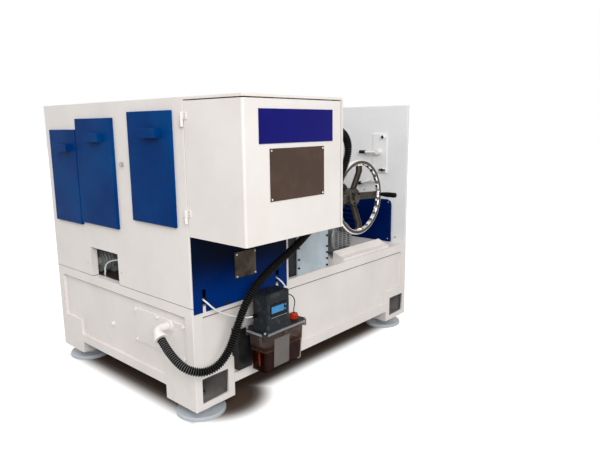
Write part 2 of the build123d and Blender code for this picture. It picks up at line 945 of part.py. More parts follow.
def motor():
    """Finned motor on its foot, with a terminal box on top and the shaft end towards the bed."""
    start = motor_front + cowl_length
    end = start + motor_length
    body = rod((motor_right, start, motor_height), (motor_right, end, motor_height), motor_radius)
    fin = block(
        (-fin_width / 2, start, motor_radius - fin_sink),
        (fin_width / 2, end, motor_radius + fin_height),
    )
    centre = Pos(motor_right, 0, motor_height)
    for index in range(fin_count):
        body += centre * Rot(0, index * 360 / fin_count, 0) * fin
    middle = (start + end) / 2
    foot_low = (motor_right - motor_foot_width / 2, middle - motor_foot_length / 2, deck_top)
    foot_high = (motor_right + motor_foot_width / 2, middle + motor_foot_length / 2, motor_height)
    body += block(foot_low, foot_high)
    box_low = (motor_right - terminal_width / 2, middle - terminal_length / 2, motor_height)
    box_high = (
        motor_right + terminal_width / 2,
        middle + terminal_length / 2,
        motor_height + motor_radius + terminal_height,
    )
    body += block(box_low, box_high)
    shaft_end = (motor_right, end + motor_shaft_length, motor_height)
    return body + rod((motor_right, end, motor_height), shaft_end, motor_shaft_radius)


def fan_cowl():
    """Pressed cup over the motor's fan, with columns of slots in its end."""
    back = motor_front + cowl_length
    cup = rod((motor_right, motor_front, motor_height), (motor_right, back, motor_height), cowl_radius)
    rim = cup.faces().sort_by(Axis.Y)[0].edges()
    cup = fillet(rim, cowl_fillet)
    inside = (motor_right, motor_front + cowl_wall, motor_height)
    cup -= rod(inside, (motor_right, back - cowl_wall, motor_height), cowl_radius - cowl_wall)
    reach = cowl_radius - cowl_fillet
    for column in range(slot_columns):
        x = (column - (slot_columns - 1) / 2) * (slot_length + slot_column_gap)
        for row in range(slot_rows):
            z = (row - (slot_rows - 1) / 2) * slot_pitch
            if math.hypot(abs(x) + slot_length / 2, abs(z) + slot_height / 2) < reach:
                cup -= Pos(motor_right + x, motor_front, motor_height + z) * Box(
                    slot_length, 2 * cowl_wall + cut_over, slot_height
                )
    return cup


def oil_tray():
    """Folded tray on the deck: a tall back wall, ends that slope down to a low front lip."""
    right = tray_left + tray_length
    back = tray_front + tray_depth
    profile = Polyline(
        (tray_front, deck_top),
        (back, deck_top),
        (back, deck_top + tray_back_height),
        (back - tray_wall, deck_top + tray_back_height),
        (tray_front, deck_top + tray_lip_height),
        close=True,
    )
    side = Plane(origin=(tray_left, 0, 0), x_dir=(0, 1, 0), z_dir=(1, 0, 0))
    solid = extrude(side * make_face(profile), tray_length)
    hollow_low = (tray_left + tray_wall, tray_front + tray_wall, deck_top + tray_wall)
    hollow_high = (right - tray_wall, back - tray_wall, deck_top + tray_back_height + cut_over)
    return solid - block(hollow_low, hollow_high)


def selector_plate():
    low = (end_wall_face - selector_thickness, selector_front, deck_top + selector_up)
    high = (end_wall_face, selector_front + selector_width, deck_top + selector_up + selector_height)
    plate = block(low, high)
    plate = fillet(plate.faces().sort_by(Axis.X)[0].edges(), selector_fillet)
    face = end_wall_face - selector_thickness
    y = selector_front + knob_inset
    for z in (low[2] + knob_inset, high[2] - knob_inset):
        plate += rod((face, y, z), (face - knob_length, y, z), knob_radius)
    handle = face - knob_length
    handle_low = (handle, y - knob_bar_length / 2, low[2] + knob_inset)
    return plate + rod(handle_low, (handle, y + knob_bar_length / 2, handle_low[2]), knob_bar_radius)


def lever(front, height, root_face, drop):
    """A bent handle: a stub out of the wall, then an arm to the back and down, with a thicker grip at its end."""
    out = root_face - lever_stand
    cap_face = out - lever_radius - lever_cap
    pivot = Vector(out, front, height)
    tip = Vector(out, front + lever_length, height - drop)
    grip_start = tip - (tip - pivot).normalized() * lever_grip_length
    handle = rod((root_face, front, height), (cap_face, front, height), lever_pivot_radius)
    handle += rod(pivot, grip_start, lever_radius)
    return handle + rod(grip_start, tip, lever_grip_radius)


def wall_levers():
    upper_front = selector_front + selector_width / 2
    upper = lever(upper_front, deck_top + upper_lever_up, end_wall_face - selector_thickness, 0)
    lower = lever(lower_lever_front, deck_top + lower_lever_up, end_wall_face, lower_lever_drop)
    return together((upper, lower))


def louvre_cover():
    """Pressed cover with one rounded top corner and a bank of louvres that open downwards."""
    face = end_wall_face - louvre_cover_thickness
    back = louvre_cover_front + louvre_cover_width
    low = (face, louvre_cover_front, deck_top)
    cover_box = block(low, (end_wall_face, back, deck_top + louvre_cover_height))
    corner = (face, louvre_cover_front, deck_top + louvre_cover_height)
    edge = cover_box.edges().filter_by(Axis.X).sort_by_distance(corner)[0]
    cover_box = fillet(edge, louvre_cover_radius)
    wedge = Polyline((0, 0), (-louvre_depth, 0), (0, louvre_height), close=True)
    start = back - louvre_edge - louvre_length
    for index in range(louvre_count):
        z = deck_top + louvre_low + index * louvre_pitch
        side = Plane(origin=(face, start, z), x_dir=(1, 0, 0), z_dir=(0, -1, 0))
        cover_box += extrude(side * make_face(wedge), -louvre_length)
    return cover_box


def lubricator_bracket():
    """Channel bracket on the front of the base: a web that carries the tank and two flanges to the panel."""
    right = bracket_left + bracket_length
    low = foot_gap + bracket_low
    high = low + bracket_height
    web = block((bracket_left, -bracket_stand - bracket_wall, low), (right, -bracket_stand, high))
    for x in (bracket_left, right - bracket_wall):
        web += block((x, -bracket_stand, low), (x + bracket_wall, base_panel_recess, high))
    return web


def tank_outline(shrink):
    """The tank's walls between its bottom and its rim, drafted inwards, as one block less a wall all round."""
    low_inset = tank_draft + tank_rim_height + shrink
    high_inset = tank_rim_height + shrink
    length = tank_length
    depth = tank_depth
    middle_x = tank_left + length / 2
    middle_y = tank_front + depth / 2
    low_face = Pos(middle_x, middle_y, tank_bottom + shrink) * RectangleRounded(
        length - 2 * low_inset, depth - 2 * low_inset, tank_fillet - shrink
    )
    high_face = Pos(middle_x, middle_y, tank_top) * RectangleRounded(
        length - 2 * high_inset, depth - 2 * high_inset, tank_fillet - shrink
    )
    return loft([low_face, high_face])


def tank_middle():
    return tank_left + tank_length / 2, tank_front + tank_depth / 2


def oil_tank():
    """Clear moulded tank: drafted walls, a flange for the pump and a screw boss under each corner."""
    x, y = tank_middle()
    flange = RectangleRounded(tank_length, tank_depth, tank_rim_fillet)
    shell = tank_outline(0) + Pos(x, y, tank_top - tank_rim_height) * extrude(flange, tank_rim_height)
    across = tank_length / 2 - tank_boss_inset
    along = tank_depth / 2 - tank_boss_inset
    for boss_x in (x - across, x + across):
        for boss_y in (y - along, y + along):
            low = (boss_x, boss_y, tank_top - tank_boss_height)
            shell += rod(low, (boss_x, boss_y, tank_top), tank_boss_radius)
    return shell - tank_outline(tank_wall)


def tank_oil():
    level = tank_bottom + tank_height * oil_share
    body = tank_outline(tank_wall + oil_gap)
    x, y = tank_middle()
    above = (x - tank_length, y - tank_depth, level)
    return body - block(above, (x + tank_length, y + tank_depth, tank_top + cut_over))


def pump_head():
    """Moulded pump cover with rounded edges and a flared foot, on the lid that closes the tank."""
    x, y = tank_middle()
    lid = Pos(x, y, tank_top) * extrude(RectangleRounded(tank_length, tank_depth, tank_rim_fillet), lid_height)
    front = tank_front + head_front_inset
    low = (head_left, front, tank_top)
    body = block(low, (head_left + head_length, front + head_depth, lid_top + head_height))
    upright = body.edges().filter_by(Axis.Z)
    top = body.faces().sort_by(Axis.Z)[-1].edges()
    body = fillet(upright + top, head_fillet)
    head_x = head_left + head_length / 2
    head_y = front + head_depth / 2
    wide = RectangleRounded(head_length + 2 * head_flare, head_depth + 2 * head_flare, head_fillet)
    narrow = RectangleRounded(head_length, head_depth, head_fillet)
    flare_top = lid_top + head_flare_height
    foot = loft([Pos(head_x, head_y, lid_top) * wide, Pos(head_x, head_y, flare_top) * narrow])
    button_low = (head_x, head_y, lid_top + head_height)
    button = rod(button_low, (head_x, head_y, button_low[2] + head_button_height), head_button_radius)
    return lid + body + foot + button


def pump_display():
    front = tank_front + head_front_inset
    middle = head_left + head_length / 2
    low = (middle - display_width / 2, front - display_thickness, lid_top + display_low)
    return block(low, (middle + display_width / 2, front, lid_top + display_low + display_height))


def filler_cap():
    """Screw cap with grip ribs round its edge."""
    y = tank_front + cap_front_inset
    cap = rod((cap_right, y, lid_top), (cap_right, y, lid_top + cap_height), cap_radius)
    cap = fillet(cap.faces().sort_by(Axis.Z)[-1].edges(), cap_fillet)
    for index in range(cap_rib_count):
        turn = 2 * math.pi * index / cap_rib_count
        x = cap_right + cap_radius * math.cos(turn)
        rib_y = y + cap_radius * math.sin(turn)
        cap += rod((x, rib_y, lid_top), (x, rib_y, lid_top + cap_height - 2 * cap_fillet), cap_rib_radius)
    return cap


def drive_motor():
    """Motor with a grooved belt pulley on its end, low inside the cabinet behind the window."""
    z = deck_top + drive_up
    pulley_end = drive_set_in + drive_pulley_length
    shape = [(0, 0), (drive_boss_radius, 0), (drive_boss_radius, drive_boss_length)]
    shape.append((drive_radius, drive_boss_length))
    step = (drive_pulley_length - drive_boss_length) / drive_groove_count
    for index in range(drive_groove_count):
        start = drive_boss_length + index * step
        middle = start + step / 2
        shape.append((drive_radius, middle - drive_groove_width / 2))
        shape.append((drive_radius - drive_groove_depth, middle))
        shape.append((drive_radius, middle + drive_groove_width / 2))
    shape.append((drive_radius, drive_pulley_length))
    shape.append((0, drive_pulley_length))
    pulley = turned(shape, Plane(origin=(drive_set_in, drive_back, z), x_dir=(0, 1, 0), z_dir=(1, 0, 0)))
    barrel_end = pulley_end + drive_length
    barrel = rod((pulley_end, drive_back, z), (barrel_end, drive_back, z), drive_radius)
    foot_low = (pulley_end, drive_back - drive_foot_width / 2, deck_top)
    foot = block(foot_low, (barrel_end, drive_back + drive_foot_width / 2, z))
    return pulley + barrel + foot


def cord_radii(points):
    """Each corner's arc is as large as its two runs allow."""
    radii = []
    for before, corner, after in zip(points, points[1:], points[2:]):
        arriving = Vector(*corner) - Vector(*before)
        leaving = Vector(*after) - Vector(*corner)
        half_turn = math.radians(arriving.get_angle(leaving)) / 2
        shorter = min(arriving.length, leaving.length)
        radii.append(cord_fill_share * shorter / math.tan(half_turn))
    return radii


def cord(name, points, radius):
    radii = cord_radii(points)
    path = FilletPolyline(*points, radius=radii)
    tube = sweep(Plane(origin=points[0], z_dir=Vector(*points[1]) - Vector(*points[0])) * Circle(radius), path)
    straight = math.pi * radius ** 2 * path.length
    runs = [(Vector(*b) - Vector(*a)).length for a, b in zip(points, points[1:])]
    usual = cord_bend_share * 2 * radius
    print(name, "length", round(path.length), "least radius", round(min(radii)), "of", round(usual))
    print("volume share", round(tube.volume / straight, 4), "runs", [round(run) for run in runs])
    return tube


def conduit():
    return cord("conduit", conduit_route, conduit_radius)


def left_oil_tube():
    return cord("left_oil_tube", left_tube_route, tube_radius)


def right_oil_tube():
    return cord("right_oil_tube", right_tube_route, tube_radius)


def cap_tether():
    return cord("cap_tether", tether_route, tether_radius)


def window_tube():
    return cord("window_tube", window_tube_route, tube_radius)


def window_fittings():
    """Fittings of the tube behind the side window: a push-in one on the deck, a block inside the wall."""
    start = Vector(*window_tube_route[0])
    end = Vector(*window_tube_route[-1])
    lower = rod((start.X, start.Y, deck_top), start, window_fitting_radius)
    block_low = (left_wall_thickness, end.Y - window_block_length, end.Z - window_block_height / 2)
    upper = block(block_low, (end.X + window_fitting_radius, end.Y, end.Z + window_block_height / 2))
    return together((lower, upper))


def conduit_gland():
    """Gland on the side of the hood that takes the upper end of the conduit."""
    end = Vector(*conduit_route[-1])
    return rod((roof_length, end.Y, end.Z), end, conduit_gland_radius)


CORD_NODES = {
    "conduit": conduit,
    "left_oil_tube": left_oil_tube,
    "right_oil_tube": right_oil_tube,
    "cap_tether": cap_tether,
    "window_tube": window_tube,
}


def rigid_nodes():
    nodes = {
        "foot_pads": foot_pads(),
        "levelling_screws": levelling_screws(),
        "leg_front_left": leg(False, False),
        "leg_front_right": leg(True, False),
        "leg_back_left": leg(False, True),
        "leg_back_right": leg(True, True),
        "corner_posts": corner_posts(),
        "top_rails": top_rails(),
        "bottom_rails": bottom_rails(),
        "base_panels": base_panels(),
        "deck": deck(),
        "base_hatch": base_hatch(),
        "conduit_elbow": conduit_elbow(),
        "left_wall": left_wall(),
        "cover_pulls": cover_pulls(),
        "cabinet_lock": cabinet_lock(),
        "roof": roof(),
        "back_wall": back_wall(),
        "end_wall": end_wall(),
        "hood_side": hood_side(),
        "guard": guard(),
        "guard_sign": guard_sign(),
        "guard_chart": guard_chart(),
        "wall_hinges": wall_hinges(),
        "guard_hinges": guard_hinges(),
        "front_panel": front_panel(),
        "tool_plate": tool_plate(),
        "panel_post": panel_post(),
        "machine_bed": machine_bed(),
        "slide_housing": slide_housing(),
        "slide_cover": slide_cover(),
        "handwheel": handwheel(),
        "wheel_shaft": wheel_shaft(),
        "wheel_bearing": wheel_bearing(),
        "wheel_grip": wheel_grip(),
        "motor": motor(),
        "fan_cowl": fan_cowl(),
        "oil_tray": oil_tray(),
        "selector_plate": selector_plate(),
        "wall_levers": wall_levers(),
        "louvre_cover": louvre_cover(),
        "lubricator_bracket": lubricator_bracket(),
        "oil_tank": oil_tank(),
        "tank_oil": tank_oil(),
        "pump_head": pump_head(),
        "pump_display": pump_display(),
        "filler_cap": filler_cap(),
        "drive_motor": drive_motor(),
        "conduit_gland": conduit_gland(),
        "window_fittings": window_fittings(),
    }
    for name, place in zip(("front_cover", "middle_cover", "rear_cover"), cover_places()):
        nodes[name] = cover(*place)
    return nodes


def main():
    """Move the shop frame to the middle of the rigid pieces' box on the floor, and write every node."""
    os.makedirs("parts", exist_ok=True)
    nodes = rigid_nodes()
    boxes = [shape.bounding_box() for shape in nodes.values()]
    middle_x = (min(box.min.X for box in boxes) + max(box.max.X for box in boxes)) / 2
    middle_y = (min(box.min.Y for box in boxes) + max(box.max.Y for box in boxes)) / 2
    shift = Pos(-middle_x, -middle_y, 0)
    for name, make in CORD_NODES.items():
        nodes[name] = make()
    for name, shape in nodes.items():
        export_step(shift * shape, f"parts/{name}.step")
    print("middle of the box in the shop frame", middle_x, middle_y, "nodes", len(nodes))


main()
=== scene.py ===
"""Nail making machine: finishes, fasteners, hoses, floor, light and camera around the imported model."""

import json
import math

import bpy
import numpy as np
from mathutils import Matrix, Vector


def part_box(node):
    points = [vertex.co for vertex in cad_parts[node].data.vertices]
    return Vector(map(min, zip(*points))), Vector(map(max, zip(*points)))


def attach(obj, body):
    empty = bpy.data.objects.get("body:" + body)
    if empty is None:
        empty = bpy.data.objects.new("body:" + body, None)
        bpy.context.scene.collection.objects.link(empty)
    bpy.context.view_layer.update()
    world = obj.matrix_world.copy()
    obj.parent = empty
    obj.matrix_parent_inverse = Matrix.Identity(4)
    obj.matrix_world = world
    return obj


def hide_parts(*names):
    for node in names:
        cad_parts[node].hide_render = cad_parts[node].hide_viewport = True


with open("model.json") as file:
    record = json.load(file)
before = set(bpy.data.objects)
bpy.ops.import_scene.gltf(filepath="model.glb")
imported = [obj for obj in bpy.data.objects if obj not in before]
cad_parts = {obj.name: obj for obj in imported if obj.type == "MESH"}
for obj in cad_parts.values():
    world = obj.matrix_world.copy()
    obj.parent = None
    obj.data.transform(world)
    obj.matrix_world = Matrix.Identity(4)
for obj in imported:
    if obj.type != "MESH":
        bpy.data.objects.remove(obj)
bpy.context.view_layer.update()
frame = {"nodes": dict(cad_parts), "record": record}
nodes = frame["nodes"]
scene = bpy.context.scene
scene.view_settings.view_transform = "Standard"

MM = 0.001
shop_corner = np.array((*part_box("deck")[0][:2], 0.0))


def shop(points):
    """Shop millimetres in metres: x along the front and y to the back from the base's corner, z upwards."""
    return np.asarray(points, float) * MM + shop_corner


def shop_box(node):
    """The low and the high corner of a node's box, in shop millimetres."""
    return (np.asarray(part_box(node), float) - shop_corner) / MM


# Camera: where the photograph was taken from, with its own small roll.
camera_place = (-1348.95, -1825.29, 1307.04)
camera_heading = 48.208
camera_drop = 10.473
camera_roll = 0.595
camera_lens = 32.871
camera_sensor = 36.0


def turn(degrees, axis):
    """A turn by some degrees about an axis, as a matrix."""
    return Matrix.Rotation(math.radians(degrees), 4, axis)


camera = bpy.data.objects.new("camera", bpy.data.cameras.new("camera"))
camera.data.sensor_width = camera_sensor
camera.data.lens = camera_lens
aim = turn(-camera_heading, "Z") @ turn(90 - camera_drop, "X") @ turn(-camera_roll, "Z")
camera.matrix_world = Matrix.Translation(shop(camera_place)) @ aim
scene.collection.objects.link(camera)
scene.camera = camera


def linear(code):
    """An sRGB hex colour as linear red, green, blue and alpha."""
    parts = np.array([int(code[i:i + 2], 16) for i in (1, 3, 5)]) / 255
    low = parts / 12.92
    high = ((parts + 0.055) / 1.055) ** 2.4
    return (*np.where(parts <= 0.04045, low, high), 1.0)


def feed(tree, node, inputs):
    """Fills a node's inputs, each by its name or number.

    A socket is linked, a node by its first output in use, and a hex colour or a plain value is set.
    """
    for name, value in inputs.items():
        in_use = [socket for socket in node.inputs if socket.enabled and socket.name == name]
        socket = in_use[0] if in_use else node.inputs[name]
        if isinstance(value, bpy.types.Node):
            value = next(output for output in value.outputs if output.enabled)
        if isinstance(value, bpy.types.NodeSocket):
            tree.links.new(value, socket)
        else:
            socket.default_value = linear(value) if isinstance(value, str) else value


def add(tree, kind, inputs=None, **settings):
    """Adds one shader node of a kind with its settings, and fills its inputs."""
    node = tree.nodes.new("ShaderNode" + kind)
    for name, value in settings.items():
        setattr(node, name, value)
    feed(tree, node, inputs or {})
    return node


def material(name, values):
    """A new material and its shader, with constant values on the shader's own sockets."""
    made = bpy.data.materials.new(name)
    made.use_nodes = True
    shader = made.node_tree.nodes["Principled BSDF"]
    feed(made.node_tree, shader, values)
    return made, made.node_tree, shader


def coordinate(tree, axis):
    """One Object coordinate, in metres."""
    place = add(tree, "TexCoord").outputs["Object"]
    return add(tree, "SeparateXYZ", {"Vector": place}).outputs[axis]


def mottle(tree, size_mm, detail=4.0, stretch=(1.0, 1.0, 1.0)):
    """Noise on Object coordinates with patches about size_mm across, drawn out where stretch is under 1."""
    place = add(tree, "TexCoord").outputs["Object"]
    mapped = add(tree, "Mapping", {"Vector": place, "Scale": stretch})
    return add(tree, "TexNoise", {"Vector": mapped, "Scale": 1 / (size_mm * MM), "Detail": detail})


def patches(tree, size_mm, low, high, detail=4.0, stretch=(1.0, 1.0, 1.0), give=(0.0, 1.0)):
    """Soft patches about size_mm across: the first value given where that noise is low, else the second."""
    ends = {"From Min": low, "From Max": high, "To Min": give[0], "To Max": give[1]}
    return add(tree, "MapRange", {"Value": mottle(tree, size_mm, detail, stretch), **ends})


def band(tree, axis, low_mm, high_mm, soft_mm):
    """1 between two shop places along an axis and 0 outside, with edges that fade over soft_mm."""
    start = shop_corner["XYZ".index(axis)]
    low, high, soft = start + low_mm * MM, start + high_mm * MM, soft_mm * MM
    place = coordinate(tree, axis)
    rise = add(tree, "MapRange", {"Value": place, "From Min": low, "From Max": low + soft})
    falling = {"From Min": high - soft, "From Max": high, "To Min": 1.0, "To Max": 0.0}
    fall = add(tree, "MapRange", {"Value": place, **falling})
    return add(tree, "Math", {0: rise, 1: fall}, operation="MULTIPLY")


def powder_coat(name, colour, cloud, dirt, roughness, shine=0.5, grime=0.1, painted_shade=None):
    """Powder coated sheet steel: soft orange peel, tone that drifts from handling, grime that settles low.

    Painted shade, where given, is a hex colour and a function that makes the mask of where it goes.
    """
    made, tree, shader = material(name, {"IOR": 1.5, "Specular IOR Level": shine})
    # Tone drifts over about 300 mm, as wiping and handling leave it.
    drift = patches(tree, 300.0, 0.4, 0.68)
    tone = add(tree, "Mix", {"Factor": drift, "A": colour, "B": cloud}, data_type="RGBA")
    # Grime: smudges of about 60 mm, three times as strong near the floor as from 300 mm up.
    heights = {"From Min": 50 * MM, "From Max": 300 * MM, "To Min": 3 * grime, "To Max": grime}
    low_down = add(tree, "MapRange", {"Value": coordinate(tree, "Z"), **heights})
    smudges = patches(tree, 60.0, 0.5, 0.78, detail=6.0)
    smudged = add(tree, "Math", {0: low_down, 1: smudges}, operation="MULTIPLY")
    tone = add(tree, "Mix", {"Factor": smudged, "A": tone, "B": dirt}, data_type="RGBA")
    # Painted shade, where given, darkens the tone inside its mask.
    if painted_shade:
        stain_and_shade, shaded = painted_shade
        tone = add(tree, "Mix", {"Factor": shaded(tree), "A": tone, "B": stain_and_shade}, data_type="RGBA")
    # Orange peel is about 3 mm; drawn at 8 mm so that it shows at this distance.
    peel = {"Height": mottle(tree, 8.0, 2.0), "Strength": 0.08, "Distance": 0.4 * MM}
    feed(tree, shader, {
        "Base Color": tone,
        "Roughness": patches(tree, 80.0, 0.3, 0.7, give=(roughness - 0.04, roughness + 0.06)),
        "Normal": add(tree, "Bump", peel),
    })
    return made


def metal(name, colour, stain_and_shade, roughness, grain_mm, stretch=(1.0, 1.0, 1.0), metallic=1.0, shine=0.5):
    """Bare metal with a drawn or ground grain: streaks follow the polishing, stains sit in larger patches."""
    made, tree, shader = material(name, {"Metallic": metallic, "Specular IOR Level": shine})
    streak = mottle(tree, grain_mm, 3.0, stretch)
    # Handling and oil stain it in patches of about 70 mm.
    stained = patches(tree, 70.0, 0.42, 0.72, detail=5.0)
    gloss = {"From Min": 0.3, "From Max": 0.7, "To Min": roughness - 0.08, "To Max": roughness + 0.1}
    feed(tree, shader, {
        "Base Color": add(tree, "Mix", {"Factor": stained, "A": colour, "B": stain_and_shade}, data_type="RGBA"),
        "Roughness": add(tree, "MapRange", {"Value": streak, **gloss}),
        "Normal": add(tree, "Bump", {"Height": streak, "Strength": 0.1, "Distance": 0.2 * MM}),
    })
    return made


def casting(name, colour, worn, roughness, sand_mm, shine=0.15):
    """Painted or oiled cast iron: sandy skin under the coat, with worn and oily patches of 35 to 70 mm."""
    made, tree, shader = material(name, {"IOR": 1.5, "Specular IOR Level": shine})
    wear_and_highlight = patches(tree, 70.0, 0.5, 0.72, detail=6.0)
    sand = {"Height": mottle(tree, sand_mm, 3.0), "Strength": 0.35, "Distance": 0.6 * MM}
    feed(tree, shader, {
        "Base Color": add(tree, "Mix", {"Factor": wear_and_highlight, "A": colour, "B": worn}, data_type="RGBA"),
        "Roughness": patches(tree, 35.0, 0.3, 0.7, give=(roughness - 0.15, roughness + 0.1)),
        "Normal": add(tree, "Bump", sand),
    })
    return made


def moulding(name, colour, scuff, roughness, texture_mm, shine=0.5):
    """Moulded plastic: a fine spark-eroded texture, with paler scuffs of about 30 mm where it is handled."""
    made, tree, shader = material(name, {"IOR": 1.5, "Specular IOR Level": shine})
    scuffed = patches(tree, 30.0, 0.55, 0.78, detail=6.0, give=(0.0, 0.6))
    texture = {"Height": mottle(tree, texture_mm, 2.0), "Strength": 0.1, "Distance": 0.2 * MM}
    feed(tree, shader, {
        "Base Color": add(tree, "Mix", {"Factor": scuffed, "A": colour, "B": scuff}, data_type="RGBA"),
        "Roughness": patches(tree, 18.0, 0.3, 0.7, give=(roughness - 0.06, roughness + 0.08)),
        "Normal": add(tree, "Bump", texture),
    })
    return made


# Where painted shade goes, in shop millimetres; a seam reaches from one step off its edge to the other.
cabinet_across = (33.0, 620.0)
cabinet_deep = (22.0, 1230.0)
guard_shade_heights = (560.0, 760.0)
panel_seam = (-11.0, 2.0)
wall_seam = (-2.0, 4.0)
seam_soft = 1.5


def cabinet_floor_shade(tree):
    """Mask of painted shade on the deck inside the cabinet: behind the front panel, beside the left wall."""
    inside = {0: band(tree, "X", *cabinet_across, 8.0), 1: band(tree, "Y", *cabinet_deep, 10.0)}
    return add(tree, "Math", inside, operation="MULTIPLY")


def seam(edge_mm, reach):
    """Mask of painted shade in a joint between two sheets, round the height of an edge."""
    return lambda tree: band(tree, "Z", edge_mm + reach[0], edge_mm + reach[1], seam_soft)


def under_guard(tree):
    """Mask of painted shade on the front panel below the guard, where light doesn't reach: full at the top.
    """
    low, high = guard_shade_heights
    rise = {"Value": coordinate(tree, "Z"), "From Min": low * MM, "From Max": high * MM}
    return add(tree, "MapRange", rise, interpolation_type="SMOOTHSTEP")


def film_finish():
    """Protective polyethylene film over a steel plate: pale blue, glossy, with soft lifted wrinkles."""
    made, tree, shader = material("blue_protective_film", {"IOR": 1.5, "Coat Weight": 0.3})
    streak = patches(tree, 90.0, 0.38, 0.66, detail=3.0, stretch=(1.0, 1.0, 0.6))
    wrinkles = {"Height": mottle(tree, 45.0, 3.0, (0.6, 1.0, 1.0)), "Strength": 0.25, "Distance": 2.0 * MM}
    feed(tree, shader, {
        "Base Color": add(tree, "Mix", {"Factor": streak, "A": "#9DABB5", "B": "#B2BFC7"}, data_type="RGBA"),
        "Roughness": patches(tree, 60.0, 0.3, 0.7, give=(0.2, 0.36)),
        "Normal": add(tree, "Bump", wrinkles),
    })
    return made


# Where the handwheel's rim turns bright, polished with a painted highlight, and dull again, as depths in from
# its outside, in millimetres.
edge_rise = (9.0, 3.0)
grip_rise = (36.0, 34.0)
grip_fall = (27.0, 22.0)


def wheel_finish():
    """Cast wheel gone bronze-grey; its rim's outside and grips are polished, with their reflection painted in
    near white: told by the radius.
    """
    made, tree, shader = material("cast_wheel_with_painted_rim_highlight", {"Specular IOR Level": 0.25})
    low, high = shop(shop_box("handwheel"))
    axis_point = ((low[0] + high[0]) / 2, 0.0, (low[2] + high[2]) / 2)
    outer = (high[0] - low[0]) / 2
    place = add(tree, "TexCoord").outputs["Object"]
    flat = add(tree, "VectorMath", {0: place, 1: (1.0, 0.0, 1.0)}, operation="MULTIPLY")
    radius = add(tree, "VectorMath", {0: flat, 1: axis_point}, operation="DISTANCE")
    steps = []
    for start, end in (edge_rise, grip_rise, grip_fall):
        ends = {"From Min": outer - start * MM, "From Max": outer - end * MM}
        steps.append(add(tree, "MapRange", {"Value": radius, **ends}))
    edge, past_grip_start, past_grip_end = steps
    grips = add(tree, "Math", {0: past_grip_start, 1: past_grip_end}, operation="SUBTRACT")
    # Polished metal, its reflection painted in as near white.
    polished_highlight = add(tree, "Math", {0: edge, 1: grips}, operation="MAXIMUM")
    patch = patches(tree, 40.0, 0.4, 0.7, detail=5.0)
    skin = add(tree, "Mix", {"Factor": patch, "A": "#3A342F", "B": "#4C453F"}, data_type="RGBA")
    sand = {"Height": mottle(tree, 5.0, 3.0), "Strength": 0.15, "Distance": 0.3 * MM}
    feed(tree, shader, {
        "Base Color": add(tree, "Mix", {"Factor": polished_highlight, "A": skin, "B": "#F0EEEA"}, data_type="RGBA"),
        "Metallic": add(tree, "MapRange", {"Value": polished_highlight, "To Min": 0.4, "To Max": 1.0}),
        "Roughness": add(tree, "MapRange", {"Value": polished_highlight, "To Min": 0.4, "To Max": 0.2}),
        "Normal": add(tree, "Bump", sand),
    })
    return made


# Stretch of the conduit where the crests' painted highlight is paler, in shop millimetres towards the back.
crest_highlight_stretch = (-90.0, 400.0)
crest_highlight_soft = 60.0


def conduit_finish():
    """Black corrugated nylon: its crests get a painted highlight, paler than the valleys, by the mesh's crest
    value.
    """
    made, tree, shader = material("black_conduit_nylon", {"IOR": 1.5, "Specular IOR Level": 0.05})
    crest = add(tree, "Attribute", attribute_name="crest").outputs["Fac"]
    # Beside the base, the crests' painted highlight is paler grey.
    highlight_band = band(tree, "Y", *crest_highlight_stretch, crest_highlight_soft)
    wear_and_highlight = add(tree, "Mix", {"Factor": highlight_band, "A": "#2C2C2C", "B": "#666664"}, data_type="RGBA")
    scratches = {"Height": mottle(tree, 4.0, 2.0), "Strength": 0.1, "Distance": 0.2 * MM}
    feed(tree, shader, {
        "Base Color": add(tree, "Mix", {"Factor": crest, "A": "#010102", "B": wear_and_highlight}, data_type="RGBA"),
        "Roughness": add(tree, "MapRange", {"Value": crest, "To Min": 0.5, "To Max": 0.3}),
        "Normal": add(tree, "Bump", scratches),
    })
    return made


# What splashing leaves on the tank's wall, in millimetres above the oil.
brown_film_height = 34.0
brown_film_soft = 12.0
splash_rise = (2.0, 8.0)


def clear_finish(oil_top_mm):
    """Clear moulded tank wall, gone smoky above the oil with the brown film that splashing leaves there."""
    made, tree, shader = material("clear_moulded_tank", {"IOR": 1.1, "Roughness": 0.04})
    haze = patches(tree, 50.0, 0.35, 0.7)
    smoky = add(tree, "Mix", {"Factor": haze, "A": "#9F918A", "B": "#8A7C75"}, data_type="RGBA")
    # Oil that has run back leaves the wall brown for about 30 mm over the surface.
    film_band = band(tree, "Z", oil_top_mm, oil_top_mm + brown_film_height, brown_film_soft)
    smoky = add(tree, "Mix", {"Factor": film_band, "A": smoky, "B": "#6E4535"}, data_type="RGBA")
    start, full = ((oil_top_mm + step) * MM for step in splash_rise)
    splashed = add(tree, "MapRange", {"Value": coordinate(tree, "Z"), "From Min": start, "From Max": full})
    ripple = {"Height": mottle(tree, 40.0, 2.0), "Strength": 0.06, "Distance": 0.5 * MM}
    feed(tree, shader, {
        "Base Color": add(tree, "Mix", {"Factor": splashed, "A": "#CDBDB5", "B": smoky}, data_type="RGBA"),
        "Transmission Weight": add(tree, "MapRange", {"Value": splashed, "To Min": 1.0, "To Max": 0.87}),
        "Normal": add(tree, "Bump", ripple),
    })
    return made


# The lit pipe that shows in the oil, and the painted highlight on the oil's surface round its top, in shop
# millimetres.
lit_pipe_edges = (-112.0, -100.0)
lit_pipe_ends = (214.0, 286.0)
lit_pipe_depth = (0.0, 296.0)
surface_reach = (-1.5, 9.0)


